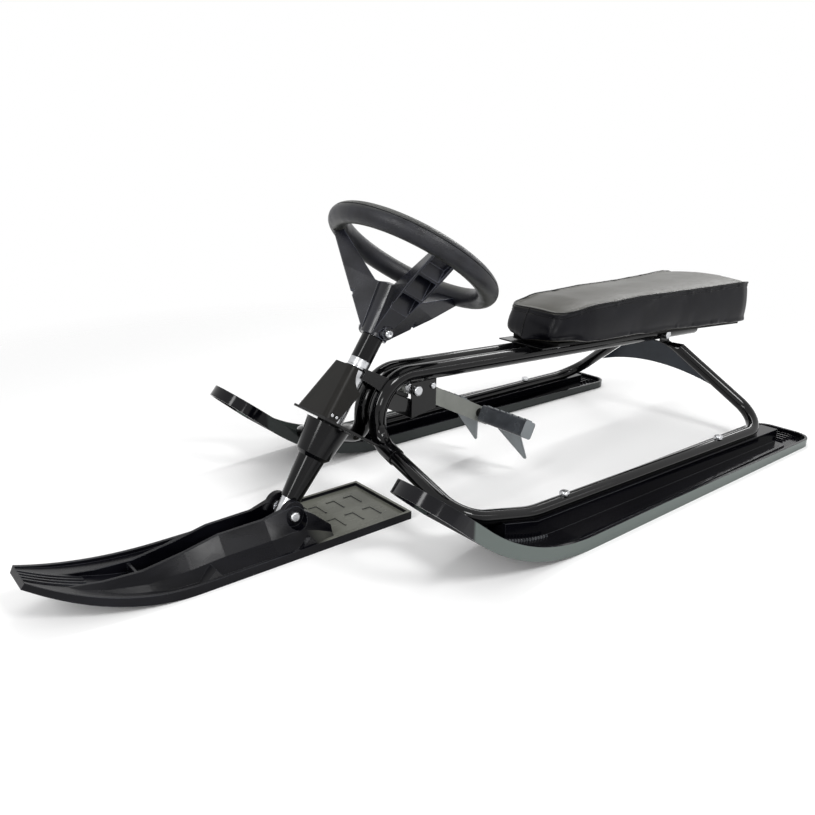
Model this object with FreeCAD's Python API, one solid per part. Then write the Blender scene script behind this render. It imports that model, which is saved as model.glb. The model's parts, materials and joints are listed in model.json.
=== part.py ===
import FreeCAD, Part
import math
import os

# Steering sled: two rear skis under a bent-tube frame, one steered front ski.
# Lengths are millimetres. X runs forward, Y to the rider's left, Z up from the ground.
# Places along X are measured from the tails of the upper rails. On export they are moved
# so that the origin lies on the ground under the middle of the sled.

V = FreeCAD.Vector
ACROSS = V(0, 1, 0)
UP = V(0, 0, 1)

# Clearances
overrun = 2.0
weld_gap = 0.2
running_gap = 0.3

# Upper frame tubes
rail_diameter = 22.0
rail_wall = 1.25
rail_half_spacing = 15.0
rail_tail_height = 150.5
rail_nose_x = 702.0
rail_nose_height = 176.0
rail_nose_radius = 50.0
knee_x = 700.0
knee_height = 97.0
knee_radius = 30.0
socket_length = 18.0
insert_length = 15.0

# Runner tubes: front leg, run on the ski and rear leg in one bent tube
runner_wall = 1.5
landing_x = 706.0
landing_y = 176.0
landing_height = 53.0
landing_radius = 38.0
run_front_x = 600.0
run_front_y = 183.0
run_front_height = 31.0
run_front_radius = 150.0
run_rear_x = 54.0
run_rear_y = 197.0
run_rear_height = 27.5
run_rear_radius = 42.0
leg_top_x = 98.0
leg_top_y = 54.0
leg_top_height = 134.0
leg_tab_thickness = 3.5
leg_tab_width = 24.0
leg_bolt_x = 104.0
leg_bolt_diameter = 8.0
leg_bolt_head_height = 5.0
leg_bolt_flats = 13.0
leg_nut_height = 7.0
spacer_wall = 3.0

# Rear arch panel between the rear legs
arch_thickness = 2.0
arch_crown_height = 98.0
arch_foot_y = 112.0
arch_foot_height = 78.0
arch_top_gap = 4.0

# Rear skis
ski_centre_y = 201.5
ski_width = 95.0
ski_tail_x = -8.0
ski_tip_x = 812.0
ski_tail_radius = 30.0
ski_wall = 4.0
ski_floor = 4.0
ski_rim = 17.0
ski_tail_rim = 12.0
ski_tip_rim = 15.0
ski_rim_taper_x = 420.0
ski_flat_x = 560.0
ski_curve_radius = 300.0
ski_rise_angle = 40.0
ski_floor_end_x = 742.0
ski_rib_width = 5.0
ski_rib_height = 3.5
ski_rib_y = 231.0
saddle_width = 27.0
saddle_depth = 4.0
saddle_nose_share = 0.5
ski_tail_rib_count = 4
ski_bolt_xs = (195.0, 540.0)
ski_bolt_diameter = 6.0
ski_bolt_head_diameter = 13.0
ski_bolt_head_height = 4.5
ski_nut_flats = 10.0
ski_nut_height = 5.0
ski_nut_depth = 2.0

# Steering head, measured along the raked column from the front ski's pivot
rake_angle = 34.2
pivot_x = 827.0
pivot_height = 33.0
head_plate_along = 115.8
head_plate_thickness = 3.0
head_plate_front = 34.0
head_plate_rear = -72.0
head_plate_front_half_width = 33.0
head_plate_rear_half_width = 42.0
head_tube_diameter = 30.0
head_tube_wall = 2.5
head_tube_top_along = 187.0
bush_flange_thickness = 2.0
bush_spacing = 31.2
cover_thickness = 2.0
cover_top_along = 187.0
cover_top_front = 23.0
cover_bottom_front = 33.0
cover_rear = -5.0
cover_bottom_rear = 15.5
cover_shoulder_along = 163.0
cover_top_half_width = 19.5
cover_bottom_half_width = 32.0
cover_corner_radius = 9.0
cover_notch_radius = 18.0
cover_notch_ahead = -6.0
cover_notch_along = 181.0
cover_tab_thickness = 2.0
cover_tab_height = 9.0
cover_tab_length = 11.0
cover_tab_ahead = 16.5
cover_rivet_diameter = 2.4
cover_rivet_head_diameter = 4.0
cover_rivet_head_height = 1.2
cover_rivet_spacing = 7.0
cover_rivet_share = 0.6
neck_head_rise = 5.0
neck_head_depth = 13.0
neck_rear_reach = 22.0
neck_rear_drop = 4.0
neck_rear_depth = 24.0
neck_wall = 2.5
neck_half_width = 18.0

# Steering column
column_diameter = 22.0
column_wall = 2.0
column_low_along = -11.0
column_top_rise = 50.0
washer_thickness = 2.0
washer_diameter = 26.5
collar_diameter = 26.5
collar_length = 9.0
sleeve_diameter = 26.5
sleeve_length = 31.0
boot_low_along = 15.5
boot_step_along = 69.5
boot_low_diameter = 24.5
boot_step_low_diameter = 33.5
boot_step_high_diameter = 43.0
boot_top_diameter = 55.0
boot_wall = 2.5

# Steering wheel
hub_low_diameter = 34.0
hub_top_diameter = 52.0
hub_length = 62.0
hub_dome = 4.0
wheel_rise = 109.0
wheel_diameter = 228.0
grip_diameter = 26.0
core_diameter = 15.0
grip_groove_width = 1.4
grip_groove_depth = 1.2
grip_groove_angle = 22.0
spoke_count = 3
spoke_clock_angle = -10.0
spoke_width = 30.0
spoke_foot_width = 16.0
spoke_wall = 3.0
spoke_rib_thickness = 2.5
spoke_pocket_share = 0.38
spoke_rib_shares = (0.30, 0.66)
spoke_rim_depth = 13.0
spoke_root_depth = 58.0
hub_bolt_rise = 8.5
hub_bolt_angle = 86.0
hub_boss_diameter = 15.5
hub_boss_half_length = 26.0
hub_bolt_diameter = 6.0
hub_bolt_head_diameter = 10.0
hub_bolt_head_height = 4.0
hub_bolt_socket_diameter = 5.0
hub_nut_flats = 10.0
hub_nut_height = 5.0

# Front ski
front_tail_x = 680.0
front_tip_x = 1120.0
front_width = 118.0
front_tip_width = 27.0
front_taper_x = 960.0
front_tip_run = 10.0
front_curve_radius = 300.0
front_rise_angle = 30.0
front_floor = 6.0
front_rim = 10.5
front_tip_rim = 7.5
front_lip = 4.0
keel_gap = 26.0
keel_tail_x = 788.0
keel_nose_x = 1078.0
keel_height = 40.0
keel_base = 38.0
keel_crest = 4.0
keel_station_shares = (0.0, 0.062, 0.135, 0.26, 0.455, 0.593, 0.748, 0.886, 1.0)
keel_height_shares = (0.30, 0.68, 1.0, 0.80, 0.775, 0.575, 0.33, 0.16, 0.0)
keel_crest_shares = (6.5, 4.2, 2.3, 1.1, 0.9, 0.9, 0.9, 0.8, 0.7)
keel_base_shares = (0.92, 1.0, 1.03, 1.03, 1.03, 0.98, 0.86, 0.62, 0.30)
keel_bulge_share = 0.42
keel_rib_x = 1008.0
keel_rib_thickness = 3.0
ear_diameter = 29.0
ear_outer = 20.5
ear_rise = 3.5
ear_boss_diameter = 25.0
ear_boss_height = 1.5
gusset_xs = (812.0, 930.0)
gusset_length = 34.0
gusset_height = 9.0
gusset_width = 9.0
tread_rows = 3
tread_columns = 2
tread_height = 1.0
tread_bar = 1.8
tread_long = 24.0
tread_short = 13.0
tread_pitch_x = 27.0
tread_pitch_y = 42.0
tip_ridge_count = 4
tip_ridge_height = 1.2
tip_ridge_width = 2.4
tip_ridge_length = 58.0
pivot_bolt_diameter = 8.0
pivot_washer_diameter = 17.0
pivot_bolt_head_diameter = 13.0
pivot_bolt_head_height = 4.5
pivot_nut_flats = 13.0
pivot_nut_height = 6.0

# Brake
bracket_front_x = 657.0
bracket_rear_x = 617.0
bracket_low_height = 120.0
bracket_rear_low_height = 127.0
bracket_top_height = 166.0
bracket_wall = 2.5
bracket_front_plate_height = 24.0
brake_pivot_x = 648.5
brake_pivot_height = 155.0
brake_bolt_diameter = 8.0
brake_bolt_head_diameter = 13.0
brake_bolt_head_height = 4.0
brake_nut_height = 5.0
anchor_x = 623.0
anchor_height = 157.5
anchor_diameter = 5.0
anchor_head_diameter = 8.0
anchor_head_height = 3.0
anchor_length = 12.0
arm_width = 22.0
arm_wall = 2.5
arm_boss_diameter = 16.0
arm_depth = 24.0
arm_top_x = 622.0
arm_top_height = 158.0
arm_end_x = 504.0
arm_slope_angle = 27.0
pedal_bar_x = 519.5
pedal_bar_height = 95.5
pedal_bar_diameter = 12.0
pedal_bar_half_length = 98.0
pedal_inner_y = 22.0
pedal_outer_y = 101.5
pedal_depth = 22.0
pedal_thickness = 23.0
pedal_round = 4.0
pedal_rib_count = 7
pedal_rib_height = 1.5
pedal_rib_width = 3.0
claw_root_x = 503.0
claw_root_height = 90.0
claw_tip_x = 462.0
claw_tip_height = 25.5
claw_tip_y = 50.0
claw_tip_width = 3.0
claw_thickness = 3.0
claw_half_width = 66.0
claw_inner_y = 17.0
claw_web = 17.0
spring_wire = 1.6
spring_mean_diameter = 12.5
spring_turns = 3
spring_pitch = 2.3
spring_arm_leg = 24.0
spring_anchor_leg = 36.0

# Seat
seat_tail_x = -60.0
seat_nose_x = 414.0
seat_bracket_thickness = 2.0
seat_bracket_length = 60.0
seat_bracket_half_width = 42.0
seat_front_bracket_x = 402.0
seat_rear_bracket_x = 40.0
seat_board_thickness = 4.0
seat_board_inset = 14.0
seat_screw_y = 31.0
seat_screw_diameter = 5.0
seat_screw_head_diameter = 10.0
seat_screw_head_height = 3.0
seat_board_side_inset = 6.0
seat_thickness = 69.0
seat_width = 160.0
seat_station_shares = (0.0, 0.012, 0.05, 0.24, 0.40, 0.62, 0.845, 0.94, 0.979, 0.994, 1.0)
seat_thickness_shares = (0.93, 0.985, 1.0, 0.942, 0.90, 0.86, 0.775, 0.667, 0.60, 0.52, 0.40)
seat_width_shares = (0.92, 0.97, 1.0, 0.895, 0.81, 0.752, 0.727, 0.671, 0.62, 0.56, 0.50)
seat_crown = 7.0
seat_side_bulge = 4.0
seat_base_flare = 3.0
cap_flange = 3.0
cap_plug_length = 16.0

# Worked-out sizes
sled_middle_x = (seat_tail_x + front_tip_x) / 2
runner_diameter = rail_diameter - 2 * rail_wall - 2 * weld_gap
rail_slope = (rail_nose_height - rail_tail_height) / rail_nose_x
rail_angle = math.degrees(math.atan(rail_slope))
tab_inner_y = rail_half_spacing + rail_diameter / 2 + weld_gap
bracket_half_width = tab_inner_y + bracket_wall
wheel_radius = wheel_diameter / 2 - grip_diameter / 2
bush_length = (head_tube_top_along - head_plate_along - bush_spacing) / 2
front_flat_x = front_tip_x - front_tip_run - front_curve_radius * math.sin(math.radians(front_rise_angle))
HEAD = FreeCAD.Placement(V(pivot_x, 0, pivot_height), FreeCAD.Rotation(ACROSS, -rake_angle))


def export(node, shape):
    """Write one piece, moved so that the origin is under the middle of the sled."""
    moved = shape.copy()
    moved.translate(V(-sled_middle_x, 0, 0))
    moved.exportStep("parts/" + node + ".step")
    solids = moved.Solids
    print(node, len(solids), "solids", round(sum(solid.Volume for solid in solids)), "mm3", moved.isValid())


def export_pair(node, shape):
    """Write the left piece and its mirror image on the right."""
    export(node + "_left", shape)
    export(node + "_right", mirrored(shape))


def mirrored(shape):
    return shape.mirror(V(0, 0, 0), ACROSS)


def both_sides(shape):
    return Part.makeCompound([shape, mirrored(shape)])


def on_column(shape):
    """Move a piece drawn about the Z axis on to the raked column."""
    placed = shape.copy()
    placed.Placement = HEAD.multiply(placed.Placement)
    return placed


def fused(shapes):
    whole = shapes[0].fuse(shapes[1:]) if len(shapes) > 1 else shapes[0]
    return whole.removeSplitter()


def polygon_face(points):
    return Part.Face(Part.makePolygon(points + points[:1]))


def side_prism(points, low_y, high_y):
    """Extrude an outline of (x, z) points from low_y to high_y."""
    face = polygon_face([V(x, low_y, z) for x, z in points])
    return face.extrude(V(0, high_y - low_y, 0))


def plan_prism(points, low, high):
    """Extrude an outline of (x, y) points from low to high."""
    face = polygon_face([V(x, y, low) for x, y in points])
    return face.extrude(V(0, 0, high - low))


def rod(start, end, diameter):
    run = end - start
    return Part.makeCylinder(diameter / 2, run.Length, start, run)


def hexagon(start, direction, flats, height):
    """A hexagonal prism with its axis along direction."""
    radius = flats / math.sqrt(3)
    turns = [math.radians(60 * step) for step in range(6)]
    face = polygon_face([V(radius * math.cos(turn), radius * math.sin(turn), 0) for turn in turns])
    prism = face.extrude(V(0, 0, height))
    prism.Placement = FreeCAD.Placement(start, FreeCAD.Rotation(UP, direction))
    return prism


def nut(start, direction, flats, height, thread):
    end = start + direction * height
    return hexagon(start, direction, flats, height).cut(rod(start, end, thread + 2 * weld_gap))


def dome_bolt(seat, direction, diameter, length, head_diameter, head_height):
    """A bolt whose rounded head stands on seat and whose shank runs along direction."""
    head = Part.makeCylinder(head_diameter / 2, head_height, seat, direction * -1)
    rim = [edge for edge in head.Edges if (edge.CenterOfMass - seat).dot(direction) < -head_height / 2
           and len(edge.Vertexes) == 1]
    head = head.makeFillet(head_height / 2, rim)
    return fused([head, rod(seat, seat + direction * length, diameter)])


def bent_wire(points, radii):
    """Straight runs through points, joined by tangent arcs at the inner points."""
    edges = []
    start = points[0]
    for before, corner, after, radius in zip(points, points[1:], points[2:], radii):
        into = (corner - before).normalize()
        out = (after - corner).normalize()
        half_turn = into.getAngle(out) / 2
        reach = radius * math.tan(half_turn)
        first = corner - into * reach
        last = corner + out * reach
        inward = (out - into).normalize()
        middle = corner + inward * (radius / math.cos(half_turn) - radius)
        edges.append(Part.LineSegment(start, first).toShape())
        edges.append(Part.Arc(first, middle, last).toShape())
        start = last
    edges.append(Part.LineSegment(start, points[-1]).toShape())
    return Part.Wire(edges)


def bent_rod(points, radii, diameter):
    path = bent_wire(points, radii)
    ring = Part.Wire(Part.makeCircle(diameter / 2, points[0], points[1] - points[0]))
    return path.makePipeShell([ring], True, False)


def bent_tube(points, radii, diameter, wall):
    return bent_rod(points, radii, diameter).cut(bent_rod(points, radii, diameter - 2 * wall))


def rail_height(x):
    return rail_tail_height + rail_slope * x


def front_leg_direction():
    knee = V(knee_x, rail_half_spacing, knee_height)
    return (V(landing_x, landing_y, landing_height) - knee).normalize()


def rail_points():
    nose = V(rail_nose_x, rail_half_spacing, rail_nose_height)
    knee = V(knee_x, rail_half_spacing, knee_height)
    down = knee - nose
    reach = knee_radius * math.tan(down.getAngle(front_leg_direction()) / 2)
    end = knee + front_leg_direction() * (reach + socket_length)
    return [V(0, rail_half_spacing, rail_tail_height), nose, knee, end]


def rail_envelope(gap):
    """Both rails as solid rods, larger by a gap, for cutting what is welded to them."""
    return both_sides(bent_rod(rail_points(), (rail_nose_radius, knee_radius), rail_diameter + 2 * gap))


def runner_points():
    start = rail_points()[-1] - front_leg_direction() * insert_length
    return [start,
            V(landing_x, landing_y, landing_height),
            V(run_front_x, run_front_y, run_front_height),
            V(run_rear_x, run_rear_y, run_rear_height),
            V(leg_top_x, leg_top_y, leg_top_height)]


def runner_radii():
    return (landing_radius, run_front_radius, run_rear_radius)


def run_place(x):
    """Centre of the runner tube above the ski at a place along X."""
    front = V(run_front_x, run_front_y, run_front_height)
    rear = V(run_rear_x, run_rear_y, run_rear_height)
    return rear + (front - rear) * ((x - run_rear_x) / (run_front_x - run_rear_x))


def leg_bolt_height():
    return rail_height(leg_bolt_x)


def rail():
    tube = bent_tube(rail_points(), (rail_nose_radius, knee_radius), rail_diameter, rail_wall)
    hole_start = V(leg_bolt_x, 0, leg_bolt_height())
    hole_end = hole_start + ACROSS * (2 * rail_half_spacing)
    return tube.cut(rod(hole_start, hole_end, leg_bolt_diameter + 2 * weld_gap))


def leg_tab():
    """Flattened end of the rear leg: it lies on the outside of the rail, round the leg bolt."""
    bolt_centre = V(leg_bolt_x, tab_inner_y, leg_bolt_height())
    eye = Part.makeCylinder(leg_tab_width / 2, leg_tab_thickness, bolt_centre, ACROSS)
    half = leg_tab_width / 2
    root_height = leg_bolt_height() - half
    tab = Part.makeBox(leg_tab_width, leg_tab_thickness, half,
                       V(leg_bolt_x - half, tab_inner_y, root_height))
    top = V(leg_top_x, leg_top_y, leg_top_height)
    leg = top - V(run_rear_x, run_rear_y, run_rear_height)
    round_end = Part.Wire(Part.makeCircle(runner_diameter / 2, top, leg))
    outer_y = tab_inner_y + leg_tab_thickness
    flat_end = Part.makePolygon([V(leg_bolt_x - half, tab_inner_y, root_height),
                                 V(leg_bolt_x + half, tab_inner_y, root_height),
                                 V(leg_bolt_x + half, outer_y, root_height),
                                 V(leg_bolt_x - half, outer_y, root_height),
                                 V(leg_bolt_x - half, tab_inner_y, root_height)])
    return fused([eye, tab, Part.makeLoft([round_end, flat_end], True, True)])


def runner_tube():
    tube = bent_tube(runner_points(), runner_radii(), runner_diameter, runner_wall)
    whole = fused([tube, leg_tab()])
    bolt_start = V(leg_bolt_x, 0, leg_bolt_height())
    whole = whole.cut(rod(bolt_start, bolt_start + ACROSS * leg_top_y, leg_bolt_diameter + 2 * weld_gap))
    for x in ski_bolt_xs:
        centre = run_place(x)
        reach = UP * runner_diameter
        whole = whole.cut(rod(centre - reach, centre + reach, ski_bolt_diameter + 2 * weld_gap))
    return whole


def rail_cap():
    """Plastic plug in the open tail of a rail."""
    bore = rail_diameter - 2 * rail_wall - 2 * weld_gap
    plug = Part.makeCylinder(bore / 2, cap_plug_length, V(0, 0, 0), V(1, 0, 0))
    flange = Part.makeCylinder(rail_diameter / 2, cap_flange, V(-cap_flange, 0, 0), V(1, 0, 0))
    edge = [edge for edge in flange.Edges if edge.CenterOfMass.x < -cap_flange / 2 and len(edge.Vertexes) == 1]
    cap = fused([flange.makeFillet(cap_flange / 2, edge), plug])
    cap.Placement = FreeCAD.Placement(V(0, rail_half_spacing, rail_tail_height),
                                      FreeCAD.Rotation(ACROSS, -rail_angle))
    return cap


def leg_bolt():
    """One long bolt through both rails and the flattened ends of both rear legs."""
    seat = V(leg_bolt_x, tab_inner_y + leg_tab_thickness, leg_bolt_height())
    length = 2 * seat.y + leg_bolt_flats
    head = hexagon(seat, ACROSS, leg_bolt_flats, leg_bolt_head_height)
    return fused([head, rod(seat, seat - ACROSS * length, leg_bolt_diameter)])


def leg_nut():
    seat = V(leg_bolt_x, -tab_inner_y - leg_tab_thickness, leg_bolt_height())
    return nut(seat, ACROSS * -1, leg_bolt_flats, leg_nut_height, leg_bolt_diameter)


def rail_spacer():
    """Short tube on the leg bolt that keeps the two rails apart."""
    half = rail_half_spacing - rail_diameter / 2 - weld_gap
    start = V(leg_bolt_x, -half, leg_bolt_height())
    end = V(leg_bolt_x, half, leg_bolt_height())
    bore = leg_bolt_diameter + 2 * weld_gap
    return rod(start, end, bore + 2 * spacer_wall).cut(rod(start, end, bore))


def arch_panel():
    """Sheet between the rear legs, with an arched lower edge, in the slanting plane of the legs."""
    low = V(run_rear_x, run_rear_y, run_rear_height)
    high = V(leg_top_x, leg_top_y, leg_top_height)
    lean = (high.x - low.x) / (high.z - low.z)

    def place(y, height):
        return V(low.x + lean * (height - low.z), y, height)

    fall = (low.z - high.z) / (low.y - high.y)
    leg_slant = math.hypot(1, fall)
    below_leg = (runner_diameter / 2 + weld_gap) * leg_slant
    top_height = rail_height(leg_bolt_x) - rail_diameter / 2 - arch_top_gap
    shoulder_y = high.y + (top_height + below_leg - high.z) / fall
    foot_top = high.z + fall * (arch_foot_y - high.y) - below_leg
    top_left, top_right = place(shoulder_y, top_height), place(-shoulder_y, top_height)
    edges = [Part.LineSegment(top_right, top_left).toShape(),
             Part.LineSegment(top_left, place(arch_foot_y, foot_top)).toShape(),
             Part.LineSegment(place(arch_foot_y, foot_top), place(arch_foot_y, arch_foot_height)).toShape(),
             Part.Arc(place(arch_foot_y, arch_foot_height), place(0, arch_crown_height),
                      place(-arch_foot_y, arch_foot_height)).toShape(),
             Part.LineSegment(place(-arch_foot_y, arch_foot_height), place(-arch_foot_y, foot_top)).toShape(),
             Part.LineSegment(place(-arch_foot_y, foot_top), top_right).toShape()]
    face = Part.Face(Part.Wire(edges))
    normal = V(1, 0, -lean).normalize()
    face.translate(normal * (-arch_thickness / 2))
    return face.extrude(normal * arch_thickness)


def sole_edges(tail_x, flat_x, radius, angle, tip_x, offset):
    """Side view of a ski's sole, raised square to itself by offset: points of a line, an arc and a line."""
    rise = math.radians(angle)
    tip_run = (tip_x - flat_x - radius * math.sin(rise)) / math.cos(rise)
    inner = radius - offset
    bend = V(flat_x + inner * math.sin(rise), 0, radius - inner * math.cos(rise))
    middle = V(flat_x + inner * math.sin(rise / 2), 0, radius - inner * math.cos(rise / 2))
    tip = bend + V(math.cos(rise), 0, math.sin(rise)) * tip_run
    return [V(tail_x, 0, offset), V(flat_x, 0, offset), middle, bend, tip]


def sole_slab(tail_x, flat_x, radius, angle, tip_x, low, high, half_width):
    """A slab that follows the sole of a ski between two heights above it."""
    under = sole_edges(tail_x, flat_x, radius, angle, tip_x, low)
    over = sole_edges(tail_x, flat_x, radius, angle, tip_x, high)
    edges = []
    for line in (under, over):
        edges.append(Part.LineSegment(line[0], line[1]).toShape())
        edges.append(Part.Arc(line[1], line[2], line[3]).toShape())
        edges.append(Part.LineSegment(line[3], line[4]).toShape())
    edges.append(Part.LineSegment(under[0], over[0]).toShape())
    edges.append(Part.LineSegment(under[4], over[4]).toShape())
    face = Part.Face(Part.Wire(Part.__sortEdges__(edges)))
    face.translate(ACROSS * -half_width)
    return face.extrude(ACROSS * (2 * half_width))


def rear_slab(low, high):
    reach = ski_tip_x + ski_rim + overrun
    slab = sole_slab(ski_tail_x - overrun, ski_flat_x, ski_curve_radius, ski_rise_angle, reach, low, high, ski_width)
    slab.translate(ACROSS * ski_centre_y)
    return slab


def ski_outline(inset):
    """Outline of a rear ski as a tall solid: rounded tail corners and a round loop square to the rising sole."""
    half = ski_width / 2 - inset
    corner = ski_tail_radius - inset
    tail_x = ski_tail_x + inset
    left, right = ski_centre_y + half, ski_centre_y - half
    skew = corner - corner * math.cos(math.radians(45))
    sole = sole_edges(ski_tail_x, ski_flat_x, ski_curve_radius, ski_rise_angle, ski_tip_x, 0)
    bend, tip = sole[3], sole[4]
    edges = [Part.LineSegment(V(tail_x + corner, left, 0), V(bend.x, left, 0)).toShape(),
             Part.LineSegment(V(bend.x, left, 0), V(bend.x, right, 0)).toShape(),
             Part.LineSegment(V(bend.x, right, 0), V(tail_x + corner, right, 0)).toShape(),
             Part.Arc(V(tail_x + corner, right, 0), V(tail_x + skew, right + skew, 0),
                      V(tail_x, right + corner, 0)).toShape(),
             Part.LineSegment(V(tail_x, right + corner, 0), V(tail_x, left - corner, 0)).toShape(),
             Part.Arc(V(tail_x, left - corner, 0), V(tail_x + skew, left - skew, 0),
                      V(tail_x + corner, left, 0)).toShape()]
    face = Part.Face(Part.Wire(edges))
    face.translate(UP * -overrun)
    run = (tip - bend).Length - ski_width / 2
    tall = 2 * ski_rim
    loop = Part.makeCylinder(half, tall, V(run, 0, -overrun))
    straight = Part.makeBox(run + ski_width / 2, 2 * half, tall, V(-ski_width / 2, -half, -overrun))
    nose = fused([loop, straight])
    nose.Placement = FreeCAD.Placement(bend + ACROSS * ski_centre_y, FreeCAD.Rotation(ACROSS, -ski_rise_angle))
    return fused([face.extrude(UP * (ski_curve_radius + 2 * overrun)), nose])


def ski_saddle():
    """Raised ridge of the ski that carries the runner tube."""
    front, rear = run_place(run_front_x), run_place(run_rear_x)
    landing = V(landing_x, landing_y, landing_height)
    nose = front + (landing - front) * saddle_nose_share
    half = saddle_width / 2
    tail_x = run_rear_x - half
    side = side_prism([(tail_x, -overrun), (nose.x, -overrun), (nose.x, nose.z - saddle_depth),
                       (front.x, front.z - saddle_depth), (tail_x, rear.z - saddle_depth)],
                      ski_centre_y - ski_width, ski_centre_y + ski_width)
    plan = plan_prism([(tail_x, rear.y - half), (front.x, front.y - half), (nose.x, nose.y - half),
                       (nose.x, nose.y + half), (front.x, front.y + half), (tail_x, rear.y + half)],
                      -overrun, ski_curve_radius)
    return rear_slab(0, ski_curve_radius / 2).common(side).common(plan)


def ski_ribs():
    """Low stiffening ribs: one along the outer half of the floor and a few across the tail."""
    slab = rear_slab(ski_floor / 2, ski_floor + ski_rib_height)
    half = ski_rib_width / 2
    long_rib = Part.makeBox(ski_flat_x + ski_tail_radius, ski_rib_width, ski_curve_radius,
                            V(2 * ski_tail_radius, ski_rib_y - half, 0))
    ribs = [slab.common(long_rib)]
    for step in range(ski_tail_rib_count):
        across = Part.makeBox(ski_rib_width / 2, ski_width - 2 * ski_tail_radius, ski_curve_radius,
                              V(ski_tail_x + ski_tail_radius / 3 + step * 2 * ski_rib_width,
                                ski_centre_y - ski_width / 2 + ski_tail_radius, 0))
        ribs.append(slab.common(across))
    return ribs


def rim_tapers():
    """What is taken off the rim so that it gets lower towards the tail and round the front loop."""
    low_y, high_y = ski_centre_y - ski_width, ski_centre_y + ski_width
    tail_x = ski_tail_x - overrun
    tail = side_prism([(tail_x, ski_tail_rim), (ski_rim_taper_x, ski_rim), (ski_rim_taper_x, 2 * ski_rim),
                       (tail_x, 2 * ski_rim)], low_y, high_y).cut(ski_outline(ski_wall))
    high = sole_edges(0, ski_flat_x, ski_curve_radius, ski_rise_angle, ski_tip_x, ski_rim)
    low = sole_edges(0, ski_flat_x, ski_curve_radius, ski_rise_angle, ski_tip_x, ski_tip_rim)
    start, end = high[3], low[4]
    beyond = end + (end - start)
    nose = side_prism([(start.x, start.z), (beyond.x, beyond.z), (beyond.x, ski_curve_radius),
                       (start.x, ski_curve_radius)], low_y, high_y)
    return Part.makeCompound([tail, nose])


def rear_ski():
    outline = ski_outline(0)
    rim = rear_slab(0, ski_rim).common(outline.cut(ski_outline(ski_wall)))
    floor_box = Part.makeBox(ski_floor_end_x - ski_tail_x, 2 * ski_width, ski_curve_radius,
                             V(ski_tail_x, ski_centre_y - ski_width, -overrun))
    floor = rear_slab(0, ski_floor).common(outline).common(floor_box)
    ski = fused([rim, floor, ski_saddle().common(outline)] + ski_ribs())
    ski = ski.cut(rim_tapers())
    ski = ski.cut(bent_rod(runner_points(), runner_radii(), runner_diameter + 2 * weld_gap))
    for x in ski_bolt_xs:
        centre = run_place(x)
        foot = V(centre.x, centre.y, 0)
        ski = ski.cut(rod(foot - UP * overrun, centre, ski_bolt_diameter + 2 * weld_gap))
        recess = ski_nut_flats / math.cos(math.radians(30)) + 2 * weld_gap
        ski = ski.cut(rod(foot - UP * overrun, foot + UP * (ski_nut_depth + ski_nut_height), recess))
    return ski.removeSplitter()


def ski_bolts():
    bolts = []
    for x in ski_bolt_xs:
        centre = run_place(x)
        seat = centre + UP * (runner_diameter / 2 + weld_gap)
        bolts.append(dome_bolt(seat, UP * -1, ski_bolt_diameter, seat.z - ski_nut_depth,
                               ski_bolt_head_diameter, ski_bolt_head_height))
    return Part.makeCompound(bolts)


def ski_nuts():
    nuts = []
    for x in ski_bolt_xs:
        centre = run_place(x)
        nuts.append(nut(V(centre.x, centre.y, ski_nut_depth), UP, ski_nut_flats, ski_nut_height - weld_gap,
                        ski_bolt_diameter))
    return Part.makeCompound(nuts)


def head_top_along():
    return head_plate_along + head_plate_thickness


def head_plate_outline():
    return plan_prism([(head_plate_front, head_plate_front_half_width), (head_plate_rear, head_plate_rear_half_width),
                       (head_plate_rear, -head_plate_rear_half_width),
                       (head_plate_front, -head_plate_front_half_width)],
                      head_plate_along, head_top_along())


def cover_size(along):
    """Half width and front face of the head cover at a place along the column."""
    share = (along - head_top_along()) / (cover_top_along - head_top_along())
    half = cover_bottom_half_width + (cover_top_half_width - cover_bottom_half_width) * share
    front = cover_bottom_front + (cover_top_front - cover_bottom_front) * share
    return half, front


def cover_tab_y():
    half, front = cover_size(head_top_along() + cover_tab_height)
    return half - cover_thickness - weld_gap - cover_tab_thickness


def rivet_ahead():
    middle = cover_tab_ahead + cover_tab_length / 2
    return [middle - cover_rivet_spacing / 2, middle + cover_rivet_spacing / 2]


def rivet_along():
    return head_top_along() + cover_tab_height * cover_rivet_share


def head_plate():
    """Plate square to the column: the head tube stands on it and it is welded to the front legs."""
    plate = head_plate_outline()
    tab = Part.makeBox(cover_tab_length, cover_tab_thickness, cover_tab_height,
                       V(cover_tab_ahead, cover_tab_y(), head_top_along()))
    for ahead in rivet_ahead():
        start = V(ahead, 0, rivet_along())
        tab = tab.cut(rod(start, start + ACROSS * (2 * cover_bottom_half_width),
                          cover_rivet_diameter + 2 * weld_gap))
    bore = head_tube_diameter - 2 * head_tube_wall
    hole = Part.makeCylinder(bore / 2, head_plate_thickness + 2 * overrun, V(0, 0, head_plate_along - overrun))
    plate = fused([plate.cut(hole), tab, mirrored(tab)])
    return on_column(plate).cut(rail_envelope(weld_gap))


def head_tube():
    length = head_tube_top_along - head_top_along()
    outside = Part.makeCylinder(head_tube_diameter / 2, length, V(0, 0, head_top_along()))
    inside = Part.makeCylinder(head_tube_diameter / 2 - head_tube_wall, length, V(0, 0, head_top_along()))
    return on_column(outside.cut(inside))


def bush(flange_low, body_low, body_high):
    bore = column_diameter / 2 + running_gap
    outer = head_tube_diameter / 2 - head_tube_wall - weld_gap
    low = min(flange_low, body_low)
    high = max(flange_low + bush_flange_thickness, body_high)
    flange = Part.makeCylinder(head_tube_diameter / 2, bush_flange_thickness, V(0, 0, flange_low))
    body = Part.makeCylinder(outer, body_high - body_low, V(0, 0, body_low))
    hole = Part.makeCylinder(bore, high - low, V(0, 0, low))
    return on_column(fused([flange, body]).cut(hole))


def upper_bush():
    top = head_tube_top_along
    return bush(top, top - bush_length, top)


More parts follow.
